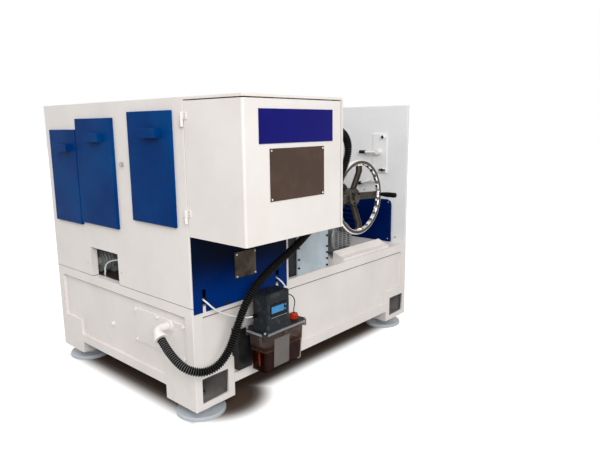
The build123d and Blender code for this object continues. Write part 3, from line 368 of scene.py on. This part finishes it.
def oil_finish(top_mm):
    """Dark red lubricating oil: a deep still body, with a painted amber highlight at its surface and the lit
    pipe in it painted orange.
    """
    made, tree, shader = material("red_lubricating_oil", {"Specular IOR Level": 0.05, "Roughness": 0.1})
    depth = patches(tree, 60.0, 0.3, 0.7, detail=3.0)
    body = add(tree, "Mix", {"Factor": depth, "A": "#210A06", "B": "#33110A"}, data_type="RGBA")
    upright = {0: band(tree, "Y", *lit_pipe_edges, 3.0), 1: band(tree, "Z", *lit_pipe_ends, 8.0)}
    pipe = add(tree, "Math", upright, operation="MULTIPLY")
    near = band(tree, "X", *lit_pipe_depth, 2.0)
    lit_pipe = add(tree, "Math", {0: pipe, 1: near}, operation="MULTIPLY")
    body = add(tree, "Mix", {"Factor": lit_pipe, "A": body, "B": "#B4531E"}, data_type="RGBA")
    # Painted highlight: amber along the oil's surface.
    surface = band(tree, "Z", top_mm + surface_reach[0], top_mm + surface_reach[1], 1.0)
    shown = add(tree, "Mix", {"Factor": surface, "A": body, "B": "#6E5A22"}, data_type="RGBA")
    feed(tree, shader, {"Base Color": shown})
    return made


white = ("#E6E1DD", "#E0DAD6", "#B7ADA4")
white_paint = powder_coat("white_powder_coat", *white, 0.36, grime=0.06)
# The foot pads' coat is grey-blue, and darker than the white paint as painted shade under the base.
pad_paint_and_shade = powder_coat("grey_white_pad_coat_and_shade", "#BEC4CA", "#B6BCC2", "#8E8C89", 0.36)
# Painted light: the end wall and the plate on it get a cooler copy of the white paint, for cool daylight on
# them.
cool_lit_white = powder_coat("white_coat_painted_cool_light", "#E9E9EA", "#E3E3E4", "#B4B1AD", 0.36, grime=0.06)
panel_top = shop_box("base_panels")[1][2]
# Painted shade in the joints: under the base's top rail and along the left wall's foot.
panel_seam_shade = ("#4F4944", seam(panel_top, panel_seam))
panel_paint = powder_coat("white_panel_coat", *white, 0.36, grime=0.06, painted_shade=panel_seam_shade)
wall_foot = shop_box("left_wall")[0][2]
wall_seam_shade = ("#7D7670", seam(wall_foot, wall_seam))
wall_paint = powder_coat("white_wall_coat", *white, 0.36, grime=0.06, painted_shade=wall_seam_shade)
# The deck inside the cabinet is painted near black as shade.
deck_paint = powder_coat("white_deck_coat", *white, 0.36, painted_shade=("#2B2725", cabinet_floor_shade))
blue_paint = powder_coat("blue_powder_coat", "#00306C", "#003E7A", "#002350", 0.42, 0.03)
# Painted shade darkens the navy panel's upper part below the guard.
guard_shade = ("#000A22", under_guard)
navy_paint = powder_coat("navy_enamel", "#00286C", "#003078", "#001440", 0.34, 0.03, painted_shade=guard_shade)
louvre_paint = powder_coat("louvre_enamel", "#00154A", "#011D5A", "#000E34", 0.34, 0.03)
sign_blue = powder_coat("sign_vinyl", "#131366", "#171770", "#0D0E52", 0.34, 0.06)
grey_paint = powder_coat("grey_machine_paint", "#8E9091", "#86888A", "#6A6763", 0.42)
# Painted shade for the insides of the legs: a darker grey copy of the paint.
leg_inside_shade = powder_coat("painted_shade_inside_legs", "#8E8A88", "#837F7D", "#5E5955", 0.6, 0.2)
chart_plate = metal("tarnished_stainless_plate", "#47382F", "#523F38", 0.42, 2.0, (0.06, 1.0, 1.0), 0.3, 0.15)
stainless = metal("brushed_stainless_plate", "#50453A", "#241C15", 0.36, 3.0, (0.06, 1.0, 1.0), 0.5, 0.2)
zinc = metal("zinc_plated_steel", "#B9BBBC", "#A3A09A", 0.34, 5.0)
bright_steel = metal("bright_bolt_steel", "#C4C3C0", "#A6A39E", 0.28, 4.0)
label_silver = metal("blank_silver_label", "#625D5B", "#585351", 0.45, 3.0, metallic=0.3, shine=0.3)
cowl_steel = metal("pressed_cowl_steel", "#7E7F80", "#6C6D6E", 0.36, 9.0, metallic=0.5, shine=0.2)
wheel_metal = wheel_finish()
dark_casting = casting("oiled_dark_casting", "#1A1C20", "#2C2F32", 0.5, 4.0)
black_oxide = casting("black_oxide_steel", "#151516", "#242322", 0.42, 3.0)
black_plastic = moulding("black_moulded_plastic", "#0C0C0D", "#19191A", 0.42, 3.0, 0.08)
conduit_plastic = conduit_finish()
tube_white = moulding("white_nylon_tube", "#E4E4E0", "#D3D1CB", 0.3, 4.0)
pump_grey = moulding("grey_moulded_housing", "#1F2327", "#545B62", 0.36, 3.0, 0.1)
rib_grey = moulding("pale_ribbed_moulding", "#8E9294", "#A5A8AA", 0.3, 3.0)
bezel_black = moulding("black_gloss_bezel", "#08090C", "#101216", 0.16, 6.0, 0.1)
screen_blue = moulding("pale_blue_display", "#3486C0", "#4A98CE", 0.2, 6.0, 0.2)
orange_plastic = moulding("orange_moulded_cap", "#AE3016", "#B94026", 0.36, 3.0, 0.25)
white_knob = moulding("white_moulded_knob", "#E6E4E0", "#D2CFC9", 0.35, 3.0)
film = film_finish()
oil_top = shop_box("tank_oil")[1][2]
clear_tank = clear_finish(oil_top)
oil = oil_finish(oil_top)

finish_of_slot = {
    "white_paint": white_paint,
    "blue_paint": blue_paint,
    "navy_paint": navy_paint,
    "sign_blue": sign_blue,
    "stainless": stainless,
    "zinc": zinc,
    "grey_paint": grey_paint,
    "dark_casting": dark_casting,
    "wheel_metal": wheel_metal,
    "film": film,
    "black_plastic": black_plastic,
    "tube_white": tube_white,
    "clear_tank": clear_tank,
    "oil": oil,
    "pump_grey": pump_grey,
    "display_blue": bezel_black,
    "orange_plastic": orange_plastic,
}
own_finish = {
    "base_panels": panel_paint,
    "left_wall": wall_paint,
    "deck": deck_paint,
    "end_wall": cool_lit_white,
    "foot_pads": pad_paint_and_shade,
    "selector_plate": cool_lit_white,
    "fan_cowl": cowl_steel,
    "guard_chart": chart_plate,
    "louvre_cover": louvre_paint,
    # The lubricator's bracket is black oxide as painted shade: the space beside the tank is dark.
    "lubricator_bracket": black_oxide,
    "wall_levers": white_knob,
    "wheel_shaft": wheel_metal,
}
for row in frame["record"]["subparts"]:
    skin = own_finish.get(row["node"], finish_of_slot[row["material_slot"]])
    mesh = nodes[row["node"]].data
    mesh.materials.clear()
    mesh.materials.append(skin)


def face_middles(node):
    """The middles of a node's faces, in shop millimetres."""
    middles = np.empty(len(nodes[node].data.polygons) * 3)
    nodes[node].data.polygons.foreach_get("center", middles)
    return (middles.reshape(-1, 3) - shop_corner) / MM


def second_finish(node, skin, chosen):
    """Gives the chosen faces of a node a second finish."""
    mesh = nodes[node].data
    mesh.materials.append(skin)
    mesh.polygons.foreach_set("material_index", chosen.astype(np.int32))


# The legs' insides get painted shade, and the selector's knobs and the levers' grips are black.
leg_skin = 6.0
for leg in ("leg_front_left", "leg_front_right", "leg_back_left", "leg_back_right"):
    low, high = shop_box(leg)
    middles = face_middles(leg)
    inside = (middles > low + leg_skin) & (middles < high - leg_skin)
    second_finish(leg, leg_inside_shade, inside.all(axis=1))
knob_stand_off = 23.0
knob_line = shop_box("selector_plate")[1][0] - knob_stand_off
second_finish("selector_plate", black_oxide, face_middles("selector_plate")[:, 0] < knob_line)
between_levers = 1000.0
upper_grip_start = 296.0
lower_grip_start = 328.0
_, lever_y, lever_z = face_middles("wall_levers").T
grip_start = np.where(lever_z > between_levers, upper_grip_start, lower_grip_start)
second_finish("wall_levers", black_oxide, lever_y > grip_start)


def mesh_object(name, points, faces, skin, body, smooth=False):
    """Points in metres and faces as one object that rides on a body, with its finish."""
    mesh = bpy.data.meshes.new(name)
    mesh.from_pydata(points.tolist(), [], [list(face) for face in faces])
    mesh.polygons.foreach_set("use_smooth", np.full(len(mesh.polygons), smooth))
    mesh.materials.append(skin)
    piece = bpy.data.objects.new(name, mesh)
    scene.collection.objects.link(piece)
    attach(piece, body)
    return piece


def ring_faces(rows, columns):
    """Quads of a grid of rows of points, each row closed on itself, and the two end rows filled."""
    start = np.arange(rows - 1)[:, None] * columns
    here = start + np.arange(columns)
    beside = start + (np.arange(columns) + 1) % columns
    quads = np.stack([here, beside, beside + columns, here + columns], -1).reshape(-1, 4)
    last = (rows - 1) * columns
    ends = [np.arange(columns)[::-1].tolist(), (last + np.arange(columns)).tolist()]
    return quads.tolist() + ends


def turned(profile, sides):
    """A profile of (radius, height) rows turned about +Z: ring i is its radius on a circle, at its height."""
    radius, height = np.asarray(profile, float).T
    angle = np.arange(sides) * 2 * np.pi / sides
    grid = np.stack([
        radius[:, None] * np.cos(angle),
        radius[:, None] * np.sin(angle),
        np.repeat(height[:, None], sides, 1),
    ], -1)
    return grid.reshape(-1, 3), ring_faces(len(radius), sides)


def towards(points, direction):
    """Points made along +Z laid along a direction: its two cross directions replace x and y."""
    z = np.asarray(direction, float) / np.linalg.norm(direction)
    x = np.cross((0.0, 1.0, 0.0) if abs(z[1]) < 0.9 else (1.0, 0.0, 0.0), z)
    x /= np.linalg.norm(x)
    return points @ np.array([x, np.cross(z, x), z])


def stamped(shape, places, direction):
    """The same small shape at many places: its points are added to each place, its faces are numbered on."""
    points, faces = shape
    laid = towards(points, direction)
    many = (np.asarray(places, float)[:, None, :] + laid[None]).reshape(-1, 3)
    numbered = [[i + copy * len(points) for i in face] for copy in range(len(places)) for face in faces]
    return many, numbered


def joined(shapes):
    """Several (points, faces) shapes as one, each one's faces numbered on from those before."""
    offsets = np.cumsum([0] + [len(points) for points, _ in shapes])
    faces = [[i + int(shift) for i in face] for (_, rows), shift in zip(shapes, offsets) for face in rows]
    return np.concatenate([points for points, _ in shapes]), faces


def front_plate(lows, highs, face_low, face_high, depth):
    """A thin plate that faces the front, from one (x, z) corner to the other.

    Its face lies at face_low along its lower edge and at face_high along its upper one.
    """
    x = np.array((lows[0], highs[0], highs[0], lows[0]))
    y = np.array((face_low, face_low, face_high, face_high))
    z = np.array((lows[1], lows[1], highs[1], highs[1]))
    face = np.stack([x, y, z], -1)
    points = np.concatenate([face, face + (0.0, depth, 0.0)])
    return points, [(0, 1, 2, 3), (7, 6, 5, 4), (0, 4, 5, 1), (1, 5, 6, 2), (2, 6, 7, 3), (3, 7, 4, 0)]


# Heads of the fasteners: rows of radius and height, as shares of the width across the head.
washer_shares = np.array([(0.675, 0.0), (0.675, 0.1), (0.625, 0.13)])
hexagon_shares = np.array([(0.55, 0.12), (0.55, 0.55), (0.45, 0.66)])
socket_shares = np.array([(0.5, 0.0), (0.5, 0.52), (0.42, 0.6), (0.275, 0.6), (0.25, 0.21)])
pan_shares = np.array([(0.5, 0.0), (0.485, 0.12), (0.375, 0.24), (0.175, 0.3), (0.15, 0.16)])


def hex_bolt(across):
    """Washer and hexagon head with a chamfered top, for a head that many millimetres across."""
    return joined([turned(across * washer_shares, 20), turned(across * hexagon_shares, 6)])


def socket_bolt(across):
    """Cylinder head with a sunk socket: the profile goes up the side, over the edge and down inside."""
    return turned(across * socket_shares, 18)


def pan_screw(across):
    """Low domed screw head with a shallow dimple in its middle."""
    return turned(across * pan_shares, 16)


LEFT, RIGHT, FRONT, UP = (-1.0, 0.0, 0.0), (1.0, 0.0, 0.0), (0.0, -1.0, 0.0), (0.0, 0.0, 1.0)


def fasteners(name, shape, places, direction, skin, body="base"):
    """One joined mesh of like pieces at shop places, all facing one direction."""
    points, faces = stamped(shape, places, direction)
    return mesh_object(name, shop(points), faces, skin, body)


def rows(*places):
    """Every combination of the places given along each axis."""
    return np.stack(np.meshgrid(*places, indexing="ij"), -1).reshape(-1, len(places))


def on_face(node, direction, steps):
    """Places on the side of a node's box that faces a direction, by steps along it from the low corner."""
    low, high = shop_box(node)
    axis = int(np.argmax(np.abs(direction)))
    places = low + np.insert(np.asarray(steps, float), axis, 0.0, axis=1)
    places[:, axis] = (low if direction[axis] < 0 else high)[axis]
    return places


def at_corners(node, direction, inset):
    """Four places on such a side, each the inset away from both edges of its corner."""
    low, high = shop_box(node)
    width, height = np.delete(high - low, int(np.argmax(np.abs(direction))))
    return on_face(node, direction, rows((inset, width - inset), (inset, height - inset)))


# Hoses, in shop millimetres: their routes and lengths as the solids have them.
conduit_route = [
    (-66, 150, 398), (-72, 104, 368), (-74, 52, 338), (-68, -2, 308), (-46, -46, 290),
    (-8, -86, 286), (42, -112, 308), (88, -124, 358), (124, -126, 424), (160, -126, 494),
    (204, -124, 560), (266, -122, 616), (340, -122, 660), (418, -124, 698), (494, -128, 736),
    (562, -138, 780), (624, -154, 838), (672, -176, 908), (708, -200, 984), (738, -220, 1056),
    (766, -232, 1122), (782, -238, 1186), (764, -242, 1240), (720, -244, 1276), (664, -244, 1290),
    (612, -244, 1290),
]
left_tube_route = [
    (56, 40, 576), (58, 8, 576), (66, -16, 562), (84, -28, 538), (110, -32, 514), (142, -36, 494),
    (176, -44, 478), (212, -60, 465), (250, -84, 456), (290, -84, 456),
]
right_tube_route = [
    (512, 40, 574), (514, 10, 574), (522, -14, 562), (532, -34, 540), (534, -54, 510), (520, -72, 482),
    (484, -84, 460), (437, -84, 460),
]
tether_route = [
    (437, -106, 520), (468, -106, 520), (498, -109, 511), (519, -111, 491), (526, -112, 464),
    (515, -113, 440), (515, -113, 415),
]
window_tube_route = [
    (52, 806, 556), (52, 806, 576), (52, 797, 594), (52, 779, 609), (52, 752, 622), (52, 720, 633),
    (52, 686, 641), (52, 650, 646), (52, 614, 647), (52, 582, 648), (52, 550, 648),
]


def route_curve(name, route, radius_mm):
    """A smooth open spline with the route's points as its control points, round in section."""
    curve = bpy.data.curves.new(name, "CURVE")
    curve.dimensions = "3D"
    curve.resolution_u = 16
    curve.bevel_depth = radius_mm * MM
    curve.bevel_resolution = 4
    curve.use_fill_caps = radius_mm > 0
    spline = curve.splines.new("NURBS")
    spline.points.add(len(route) - 1)
    spline.points.foreach_set("co", np.c_[shop(route), np.ones(len(route))].ravel())
    spline.order_u = 3
    spline.use_endpoint_u = True
    return bpy.data.objects.new(name, curve)


def hose(name, route, radius_mm, skin, node):
    """A plain hose between two fittings of the machine."""
    piece = route_curve(name, route, radius_mm)
    piece.data.materials.append(skin)
    scene.collection.objects.link(piece)
    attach(piece, "base")
    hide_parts(node)
    return piece


conduit_radius = 19.0
rib_pitch = 10.0
rib_depth = 5.5
rib_samples = 10
rib_sides = 24
# The crest value is narrowed to thin lines for the painted highlight.
crest_line_sharpness = 24
# The conduit nowhere runs along this direction, so it can be crossed with the tangent.
never_along = (0.0, 0.7, -0.7)


def corrugated_conduit():
    """Corrugated tube: a circle carried along the spline, its radius dipping in a valley beside each rib."""
    guide = route_curve("conduit_guide", conduit_route, 0.0)
    scene.collection.objects.link(guide)
    line_mesh = bpy.data.meshes.new_from_object(guide)
    line = np.empty(len(line_mesh.vertices) * 3)
    line_mesh.vertices.foreach_get("co", line)
    line = line.reshape(-1, 3)
    bpy.data.objects.remove(guide)
    bpy.data.meshes.remove(line_mesh)
    along = np.r_[0.0, np.cumsum(np.linalg.norm(np.diff(line, axis=0), axis=1))]
    ribs = round(along[-1] / (rib_pitch * MM))
    place = np.linspace(0.0, along[-1], ribs * rib_samples + 1)
    centre = np.stack([np.interp(place, along, line[:, axis]) for axis in range(3)], -1)
    tangent = np.gradient(centre, axis=0)
    tangent /= np.linalg.norm(tangent, axis=1)[:, None]
    across = np.cross(tangent, never_along)
    across /= np.linalg.norm(across, axis=1)[:, None]
    other = np.cross(tangent, across)
    phase = np.arange(len(place)) * 2 * np.pi / rib_samples
    crest = 1 - (0.5 + 0.5 * np.cos(phase)) ** 2
    radius = (conduit_radius - rib_depth * (1 - crest)) * MM
    angle = np.arange(rib_sides) * 2 * np.pi / rib_sides
    spokes = np.cos(angle)[:, None] * across[:, None, :] + np.sin(angle)[:, None] * other[:, None, :]
    points = (centre[:, None, :] + radius[:, None, None] * spokes).reshape(-1, 3)
    faces = ring_faces(len(place), rib_sides)
    piece = mesh_object("corrugated_conduit", points, faces, conduit_plastic, "base", True)
    mark = piece.data.attributes.new("crest", "FLOAT", "POINT")
    mark.data.foreach_set("value", np.repeat(crest ** crest_line_sharpness, rib_sides))
    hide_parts("conduit")


corrugated_conduit()
tube_radius = 4.0
tether_radius = 2.5
for name, route, length, node in (
    ("left_oil_hose", left_tube_route, 329.0, "left_oil_tube"),
    ("right_oil_hose", right_tube_route, 249.0, "right_oil_tube"),
    ("window_hose", window_tube_route, 298.0, "window_tube"),
):
    hose(name, route, tube_radius, tube_white, node)
hose("cap_cord", tether_route, tether_radius,
     black_plastic, "cap_tether")

# Fasteners: steps in millimetres along the faces that carry them, and widths across their heads.
hatch_steps = [(17, 159), (213, 159), (393, 159), (17, 9), (393, 9)]
side_bolt_steps = [(672, 137)]
panel_bolt_steps = [(185, 13), (432, 13)]
slide_right_steps = rows((241,), (176, 116, 82, 48, 11))
slide_left_steps = rows((10,), (142, 82, 37))
wall_screw_steps = [(550, 69), (881, 69), (1228, 60)]
louvre_steps = rows((16, 454), (20, 264))
end_screw_steps = [(325, 332), (74, 32)]
louvre_rise = 9.0
chart_inset = 8.0
tool_plate_inset = 9.0

hatch_places = on_face("base_hatch", LEFT, hatch_steps)
fasteners("hatch_bolts", hex_bolt(13.0), hatch_places, LEFT, white_paint)
side_place = on_face("base_panels", LEFT, side_bolt_steps)
fasteners("base_side_bolt", hex_bolt(19.0), side_place, LEFT, white_paint)
chart_places = at_corners("guard_chart", FRONT, chart_inset)
fasteners("chart_screws", pan_screw(9.0), chart_places, FRONT, bright_steel, "guard")
panel_places = on_face("front_panel", FRONT, panel_bolt_steps)
fasteners("panel_bolts", hex_bolt(13.0), panel_places, FRONT, black_oxide)
tool_places = at_corners("tool_plate", FRONT, tool_plate_inset)
fasteners("tool_plate_screws", socket_bolt(10.0), tool_places, FRONT, bright_steel)
slide_places = on_face("slide_cover", FRONT, np.concatenate([slide_right_steps, slide_left_steps]))
fasteners("slide_cover_bolts", socket_bolt(11.0), slide_places, FRONT, black_oxide)
wall_places = on_face("left_wall", LEFT, wall_screw_steps)
fasteners("left_wall_screws", pan_screw(10.0), wall_places, LEFT, bright_steel)
louvre_places = on_face("louvre_cover", LEFT, louvre_steps) + (louvre_rise, 0.0, 0.0)
fasteners("louvre_screws", pan_screw(9.0), louvre_places, LEFT, bright_steel)
end_places = on_face("end_wall", LEFT, end_screw_steps)
fasteners("end_wall_screws", pan_screw(9.0), end_places, LEFT, black_oxide)

# Hinge screws: two in each leaf, the wall's below and the guard's above.
hinge_height = 58.0
leaf_face = -4.0
leaf_middle = 17.0
wall_leaf_rises = (8.0, 21.0)
guard_leaf_rises = (37.0, 50.0)
hinge_lows = (shop_box("wall_hinges")[0][2], shop_box("guard_hinges")[1][2] - hinge_height)
wall_leaf = rows((leaf_face,), (leaf_middle,), np.add.outer(hinge_lows, wall_leaf_rises).ravel())
guard_leaf = rows((leaf_face,), (-leaf_middle,), np.add.outer(hinge_lows, guard_leaf_rises).ravel())
fasteners("wall_hinge_screws", pan_screw(7.0), wall_leaf, LEFT, zinc)
fasteners("guard_hinge_screws", pan_screw(7.0), guard_leaf, LEFT, zinc, "guard")

# Hub bolts: three on a circle round the wheel's axis.
hub_bolts = 3
hub_bolt_circle = 38.0
hub_bolt_start = 24.0
hub_behind_shaft = 10.0
wheel_middle = shop_box("handwheel").mean(axis=0)
hub_angle = np.radians(hub_bolt_start + 360 / hub_bolts * np.arange(hub_bolts))
hub_face = shop_box("wheel_shaft")[0][1] + hub_behind_shaft
hub_places = np.stack([
    wheel_middle[0] + hub_bolt_circle * np.cos(hub_angle),
    np.full(hub_bolts, hub_face),
    wheel_middle[2] + hub_bolt_circle * np.sin(hub_angle),
], -1)
fasteners("hub_bolts", socket_bolt(13.0), hub_places, FRONT, black_oxide, "wheel")

# Hose fittings: profiles of radius and height, turned.
ring_nut = turned([(20, -2), (28, -2), (29, 0), (29, 8), (28, 10), (20, 10)], 24)
leave = np.subtract(conduit_route[1], conduit_route[0])
fasteners("conduit_ring_nut", ring_nut, [conduit_route[0]], leave, white_knob)
push_fitting = turned([(5.0, 0.0), (10.0, 0.0), (10.0, 8.0), (8.0, 9.0), (8.0, 20.0), (5.0, 20.0)], 20)
for name, route, side in (
    ("left_tube_fitting", left_tube_route, LEFT),
    ("right_tube_fitting", right_tube_route, RIGHT),
):
    fasteners(name, push_fitting, [route[-1]], side, black_plastic)

# Lubricator, in millimetres: lid screws and ribbed edge, pipes in the tank.
lid_screw_inset = 11.0
rib_radius = 1.7
rib_height = 11.0
rib_spacing = 6.0
rib_start = 22.0
rib_end = 20.0
rib_below_lid = 12.0
pipe_radius = 5.5
pipe_steps = [(32.0, 61.0), (249.0, 108.0)]
tank_low, tank_high = shop_box("oil_tank")
lid_top = shop_box("filler_cap")[0][2]
screw_lows, screw_highs = tank_low + lid_screw_inset, tank_high - lid_screw_inset
screw_places = rows((screw_lows[0], screw_highs[0]), (screw_lows[1], screw_highs[1]), (lid_top,))
fasteners("lid_screws", socket_bolt(12.0), screw_places, UP, bright_steel)
rib_foot = (lid_top - rib_below_lid,)
rib_lows, rib_highs = tank_low + rib_start, tank_high - rib_end
front_ribs = rows(np.arange(rib_lows[0], rib_highs[0], rib_spacing), (tank_low[1],), rib_foot)
left_ribs = rows((tank_low[0],), np.arange(rib_lows[1], rib_highs[1], rib_spacing), rib_foot)
rib = turned([(rib_radius, 0.0), (rib_radius, rib_height)], 6)
fasteners("lid_ribs", rib, np.concatenate([front_ribs, left_ribs]), UP, rib_grey)
pipe = turned([(pipe_radius, 0.0), (pipe_radius, tank_high[2] - oil_top)], 16)
pipe_places = [(tank_low[0] + right, tank_low[1] + back, oil_top) for right, back in pipe_steps]
fasteners("suction_pipe", pipe, pipe_places, UP, white_knob)

# Blank label on the tank's sloping wall, placed from the tank's low corner.
rim_width = 12.0
wall_slope = 9.0
label_steps = (73.0, 12.0)
label_size = (101.0, 138.0)
label_thickness = 0.6
label_proud = 0.8
label_low = tank_low[[0, 2]] + label_steps
label_high = label_low + label_size


def label_face(z):
    """Front of the label at a height: the wall is set in under the rim, and slopes in towards its foot."""
    slope_share = (tank_high[2] - z) / (tank_high[2] - tank_low[2])
    return tank_low[1] + rim_width + wall_slope * slope_share - label_proud


foot_face, head_face = label_face(label_low[1]), label_face(label_high[1])
points, faces = front_plate(label_low, label_high, foot_face, head_face, label_thickness)
mesh_object("tank_label", shop(points), faces, label_silver, "base")

# Display: its screen, a line below it and two buttons, in steps from the window's low corner.
window = shop_box("pump_display")[0]
screen_steps = ((2.5, 24.0), (81.5, 55.0))
line_steps = ((-0.5, 3.0), (103.5, 5.0))
button_steps = [(93.5, 49.0), (89.5, 30.0)]
screen_proud = 0.8
line_proud = 0.6
for name, (start, end), proud, skin in (
    ("display_screen", screen_steps, screen_proud, screen_blue),
    ("display_line", line_steps, line_proud, rib_grey),
):
    face = window[1] - proud
    points, faces = front_plate(window[[0, 2]] + start, window[[0, 2]] + end, face, face, proud)
    mesh_object(name, shop(points), faces, skin, "base")
button = turned([(5.0, 0.0), (5.0, 1.2), (4.0, 2.0)], 20)
button_places = on_face("pump_display", FRONT, button_steps)
fasteners("display_buttons", button, button_places, FRONT, screen_blue)

# Floor: pale, with a painted shadow under the machine, whose outline and soft edges are in shop millimetres.
shadow_left = -37.0
shadow_corner = (255.0, 150.0, 0.0)
shadow_corner_radius = 285.0
glow_edge = (-108.0, 18.0)
shade_edge = (-130.0, 0.0)


def seen_directly(tree):
    """1 for rays from the camera, off gloss or through clear walls, and 0 for those that carry light."""
    rays = add(tree, "LightPath").outputs
    seen = add(tree, "Math", {0: rays["Is Camera Ray"], 1: rays["Is Glossy Ray"]}, operation="MAXIMUM")
    return add(tree, "Math", {0: seen, 1: rays["Is Transmission Ray"]}, operation="MAXIMUM")


def outside(tree, low, high):
    """Distance outside a rectangle on the floor, negative inside: the larger of those along x and along y."""
    sides = []
    for axis, start, end in zip("XY", low, high):
        past_middle = {0: coordinate(tree, axis), 1: (start + end) / 2}
        offset = add(tree, "Math", past_middle, operation="SUBTRACT")
        from_middle = add(tree, "Math", {0: offset}, operation="ABSOLUTE")
        sides.append(add(tree, "Math", {0: from_middle, 1: (end - start) / 2}, operation="SUBTRACT"))
    return add(tree, "Math", dict(enumerate(sides)), operation="MAXIMUM")


def floor_finish():
    """Pale seamless floor: darker under the machine as a painted shadow, and glowing to white outside.

    Both go by the distance outside the shadow's outline: the base's, and a circle by the lubricator's corner.
    """
    made = bpy.data.materials.new("pale_floor")
    made.use_nodes = True
    tree = made.node_tree
    tree.nodes.clear()
    base_end = shop_box("deck")[1]
    under_base = outside(tree, shop((shadow_left, 0, 0)), shop((base_end[0], base_end[1], 0)))
    to_corner = {0: add(tree, "TexCoord").outputs["Object"], 1: shop(shadow_corner)}
    from_corner = add(tree, "VectorMath", to_corner, operation="DISTANCE")
    under_corner = add(tree, "Math", {0: from_corner, 1: shadow_corner_radius * MM}, operation="SUBTRACT")
    nearest = add(tree, "Math", {0: under_base, 1: under_corner}, operation="MINIMUM")
    glow_ends = {"From Min": glow_edge[0] * MM, "From Max": glow_edge[1] * MM}
    glow = add(tree, "MapRange", {"Value": nearest, **glow_ends}, interpolation_type="SMOOTHSTEP")
    strength = add(tree, "Math", {0: seen_directly(tree), 1: glow}, operation="MULTIPLY")
    light = add(tree, "Emission", {"Color": "#FFFFFF", "Strength": strength})
    # Painted shadow: the floor's own colour turns dark inside the outline.
    shade_ends = {"From Min": shade_edge[0] * MM, "From Max": shade_edge[1] * MM}
    lit = add(tree, "MapRange", {"Value": nearest, **shade_ends})
    shade = add(tree, "Mix", {"Factor": lit, "A": "#57493F", "B": "#ABA9A6"}, data_type="RGBA")
    both = add(tree, "AddShader", {0: add(tree, "BsdfDiffuse", {"Color": shade}), 1: light})
    add(tree, "OutputMaterial", {"Surface": both})
    return made


floor_half = 30.0
floor_mesh = bpy.data.meshes.new("floor")
floor_mesh.from_pydata([(x, y, 0.0) for x, y in ((-1, -1), (1, -1), (1, 1), (-1, 1))], [], [(0, 1, 2, 3)])
floor_mesh.transform(Matrix.Diagonal((floor_half, floor_half, 1.0, 1.0)))
floor_mesh.materials.append(floor_finish())
floor = bpy.data.objects.new("floor", floor_mesh)
scene.collection.objects.link(floor)

# Light: white behind, a soft key from the upper left in front and a weak lamp over the hall.
world = bpy.data.worlds.new("studio")
scene.world = world
world.use_nodes = True
sky = world.node_tree
sky.nodes.clear()
# The dome is brighter high up, as in a hall with roof lights; what is seen directly stays white.
sky_low = 0.36
sky_high = 0.72
full_height = 0.8
direction = add(sky, "TexCoord").outputs["Generated"]
upward = add(sky, "SeparateXYZ", {"Vector": direction}).outputs["Z"]
rise = {"From Max": full_height, "To Min": sky_low, "To Max": sky_high}
overhead = add(sky, "MapRange", {"Value": upward, **rise})
strength = add(sky, "Mix", {"Factor": seen_directly(sky), "A": overhead, "B": 1.0})
dome = add(sky, "Background", {"Color": "#FFFFFF", "Strength": strength})
add(sky, "OutputWorld", {"Surface": dome})


def soft_box(name, place, target, size, power):
    """A square area lamp at a place that faces a target, both in metres."""
    lamp = bpy.data.lights.new(name, "AREA")
    lamp.size = size
    lamp.energy = power
    holder = bpy.data.objects.new(name, lamp)
    away = np.asarray(place, float) - np.asarray(target, float)
    z = away / np.linalg.norm(away)
    x = np.cross((0.0, 0.0, 1.0), z)
    x /= np.linalg.norm(x)
    turn_to = np.eye(4)
    turn_to[:3, :3] = np.array([x, np.cross(z, x), z]).T
    turn_to[:3, 3] = place
    holder.matrix_world = Matrix(turn_to.tolist())
    scene.collection.objects.link(holder)


soft_box("key_light", place=(-3.2, -4.6, 3.2), target=(0.0, 0.0, 0.7), size=3.0, power=240.0)
soft_box("hall_light", place=(-2.4, 1.0, 4.3), target=(0.5, 0.0, 1.0), size=2.5, power=36.0)
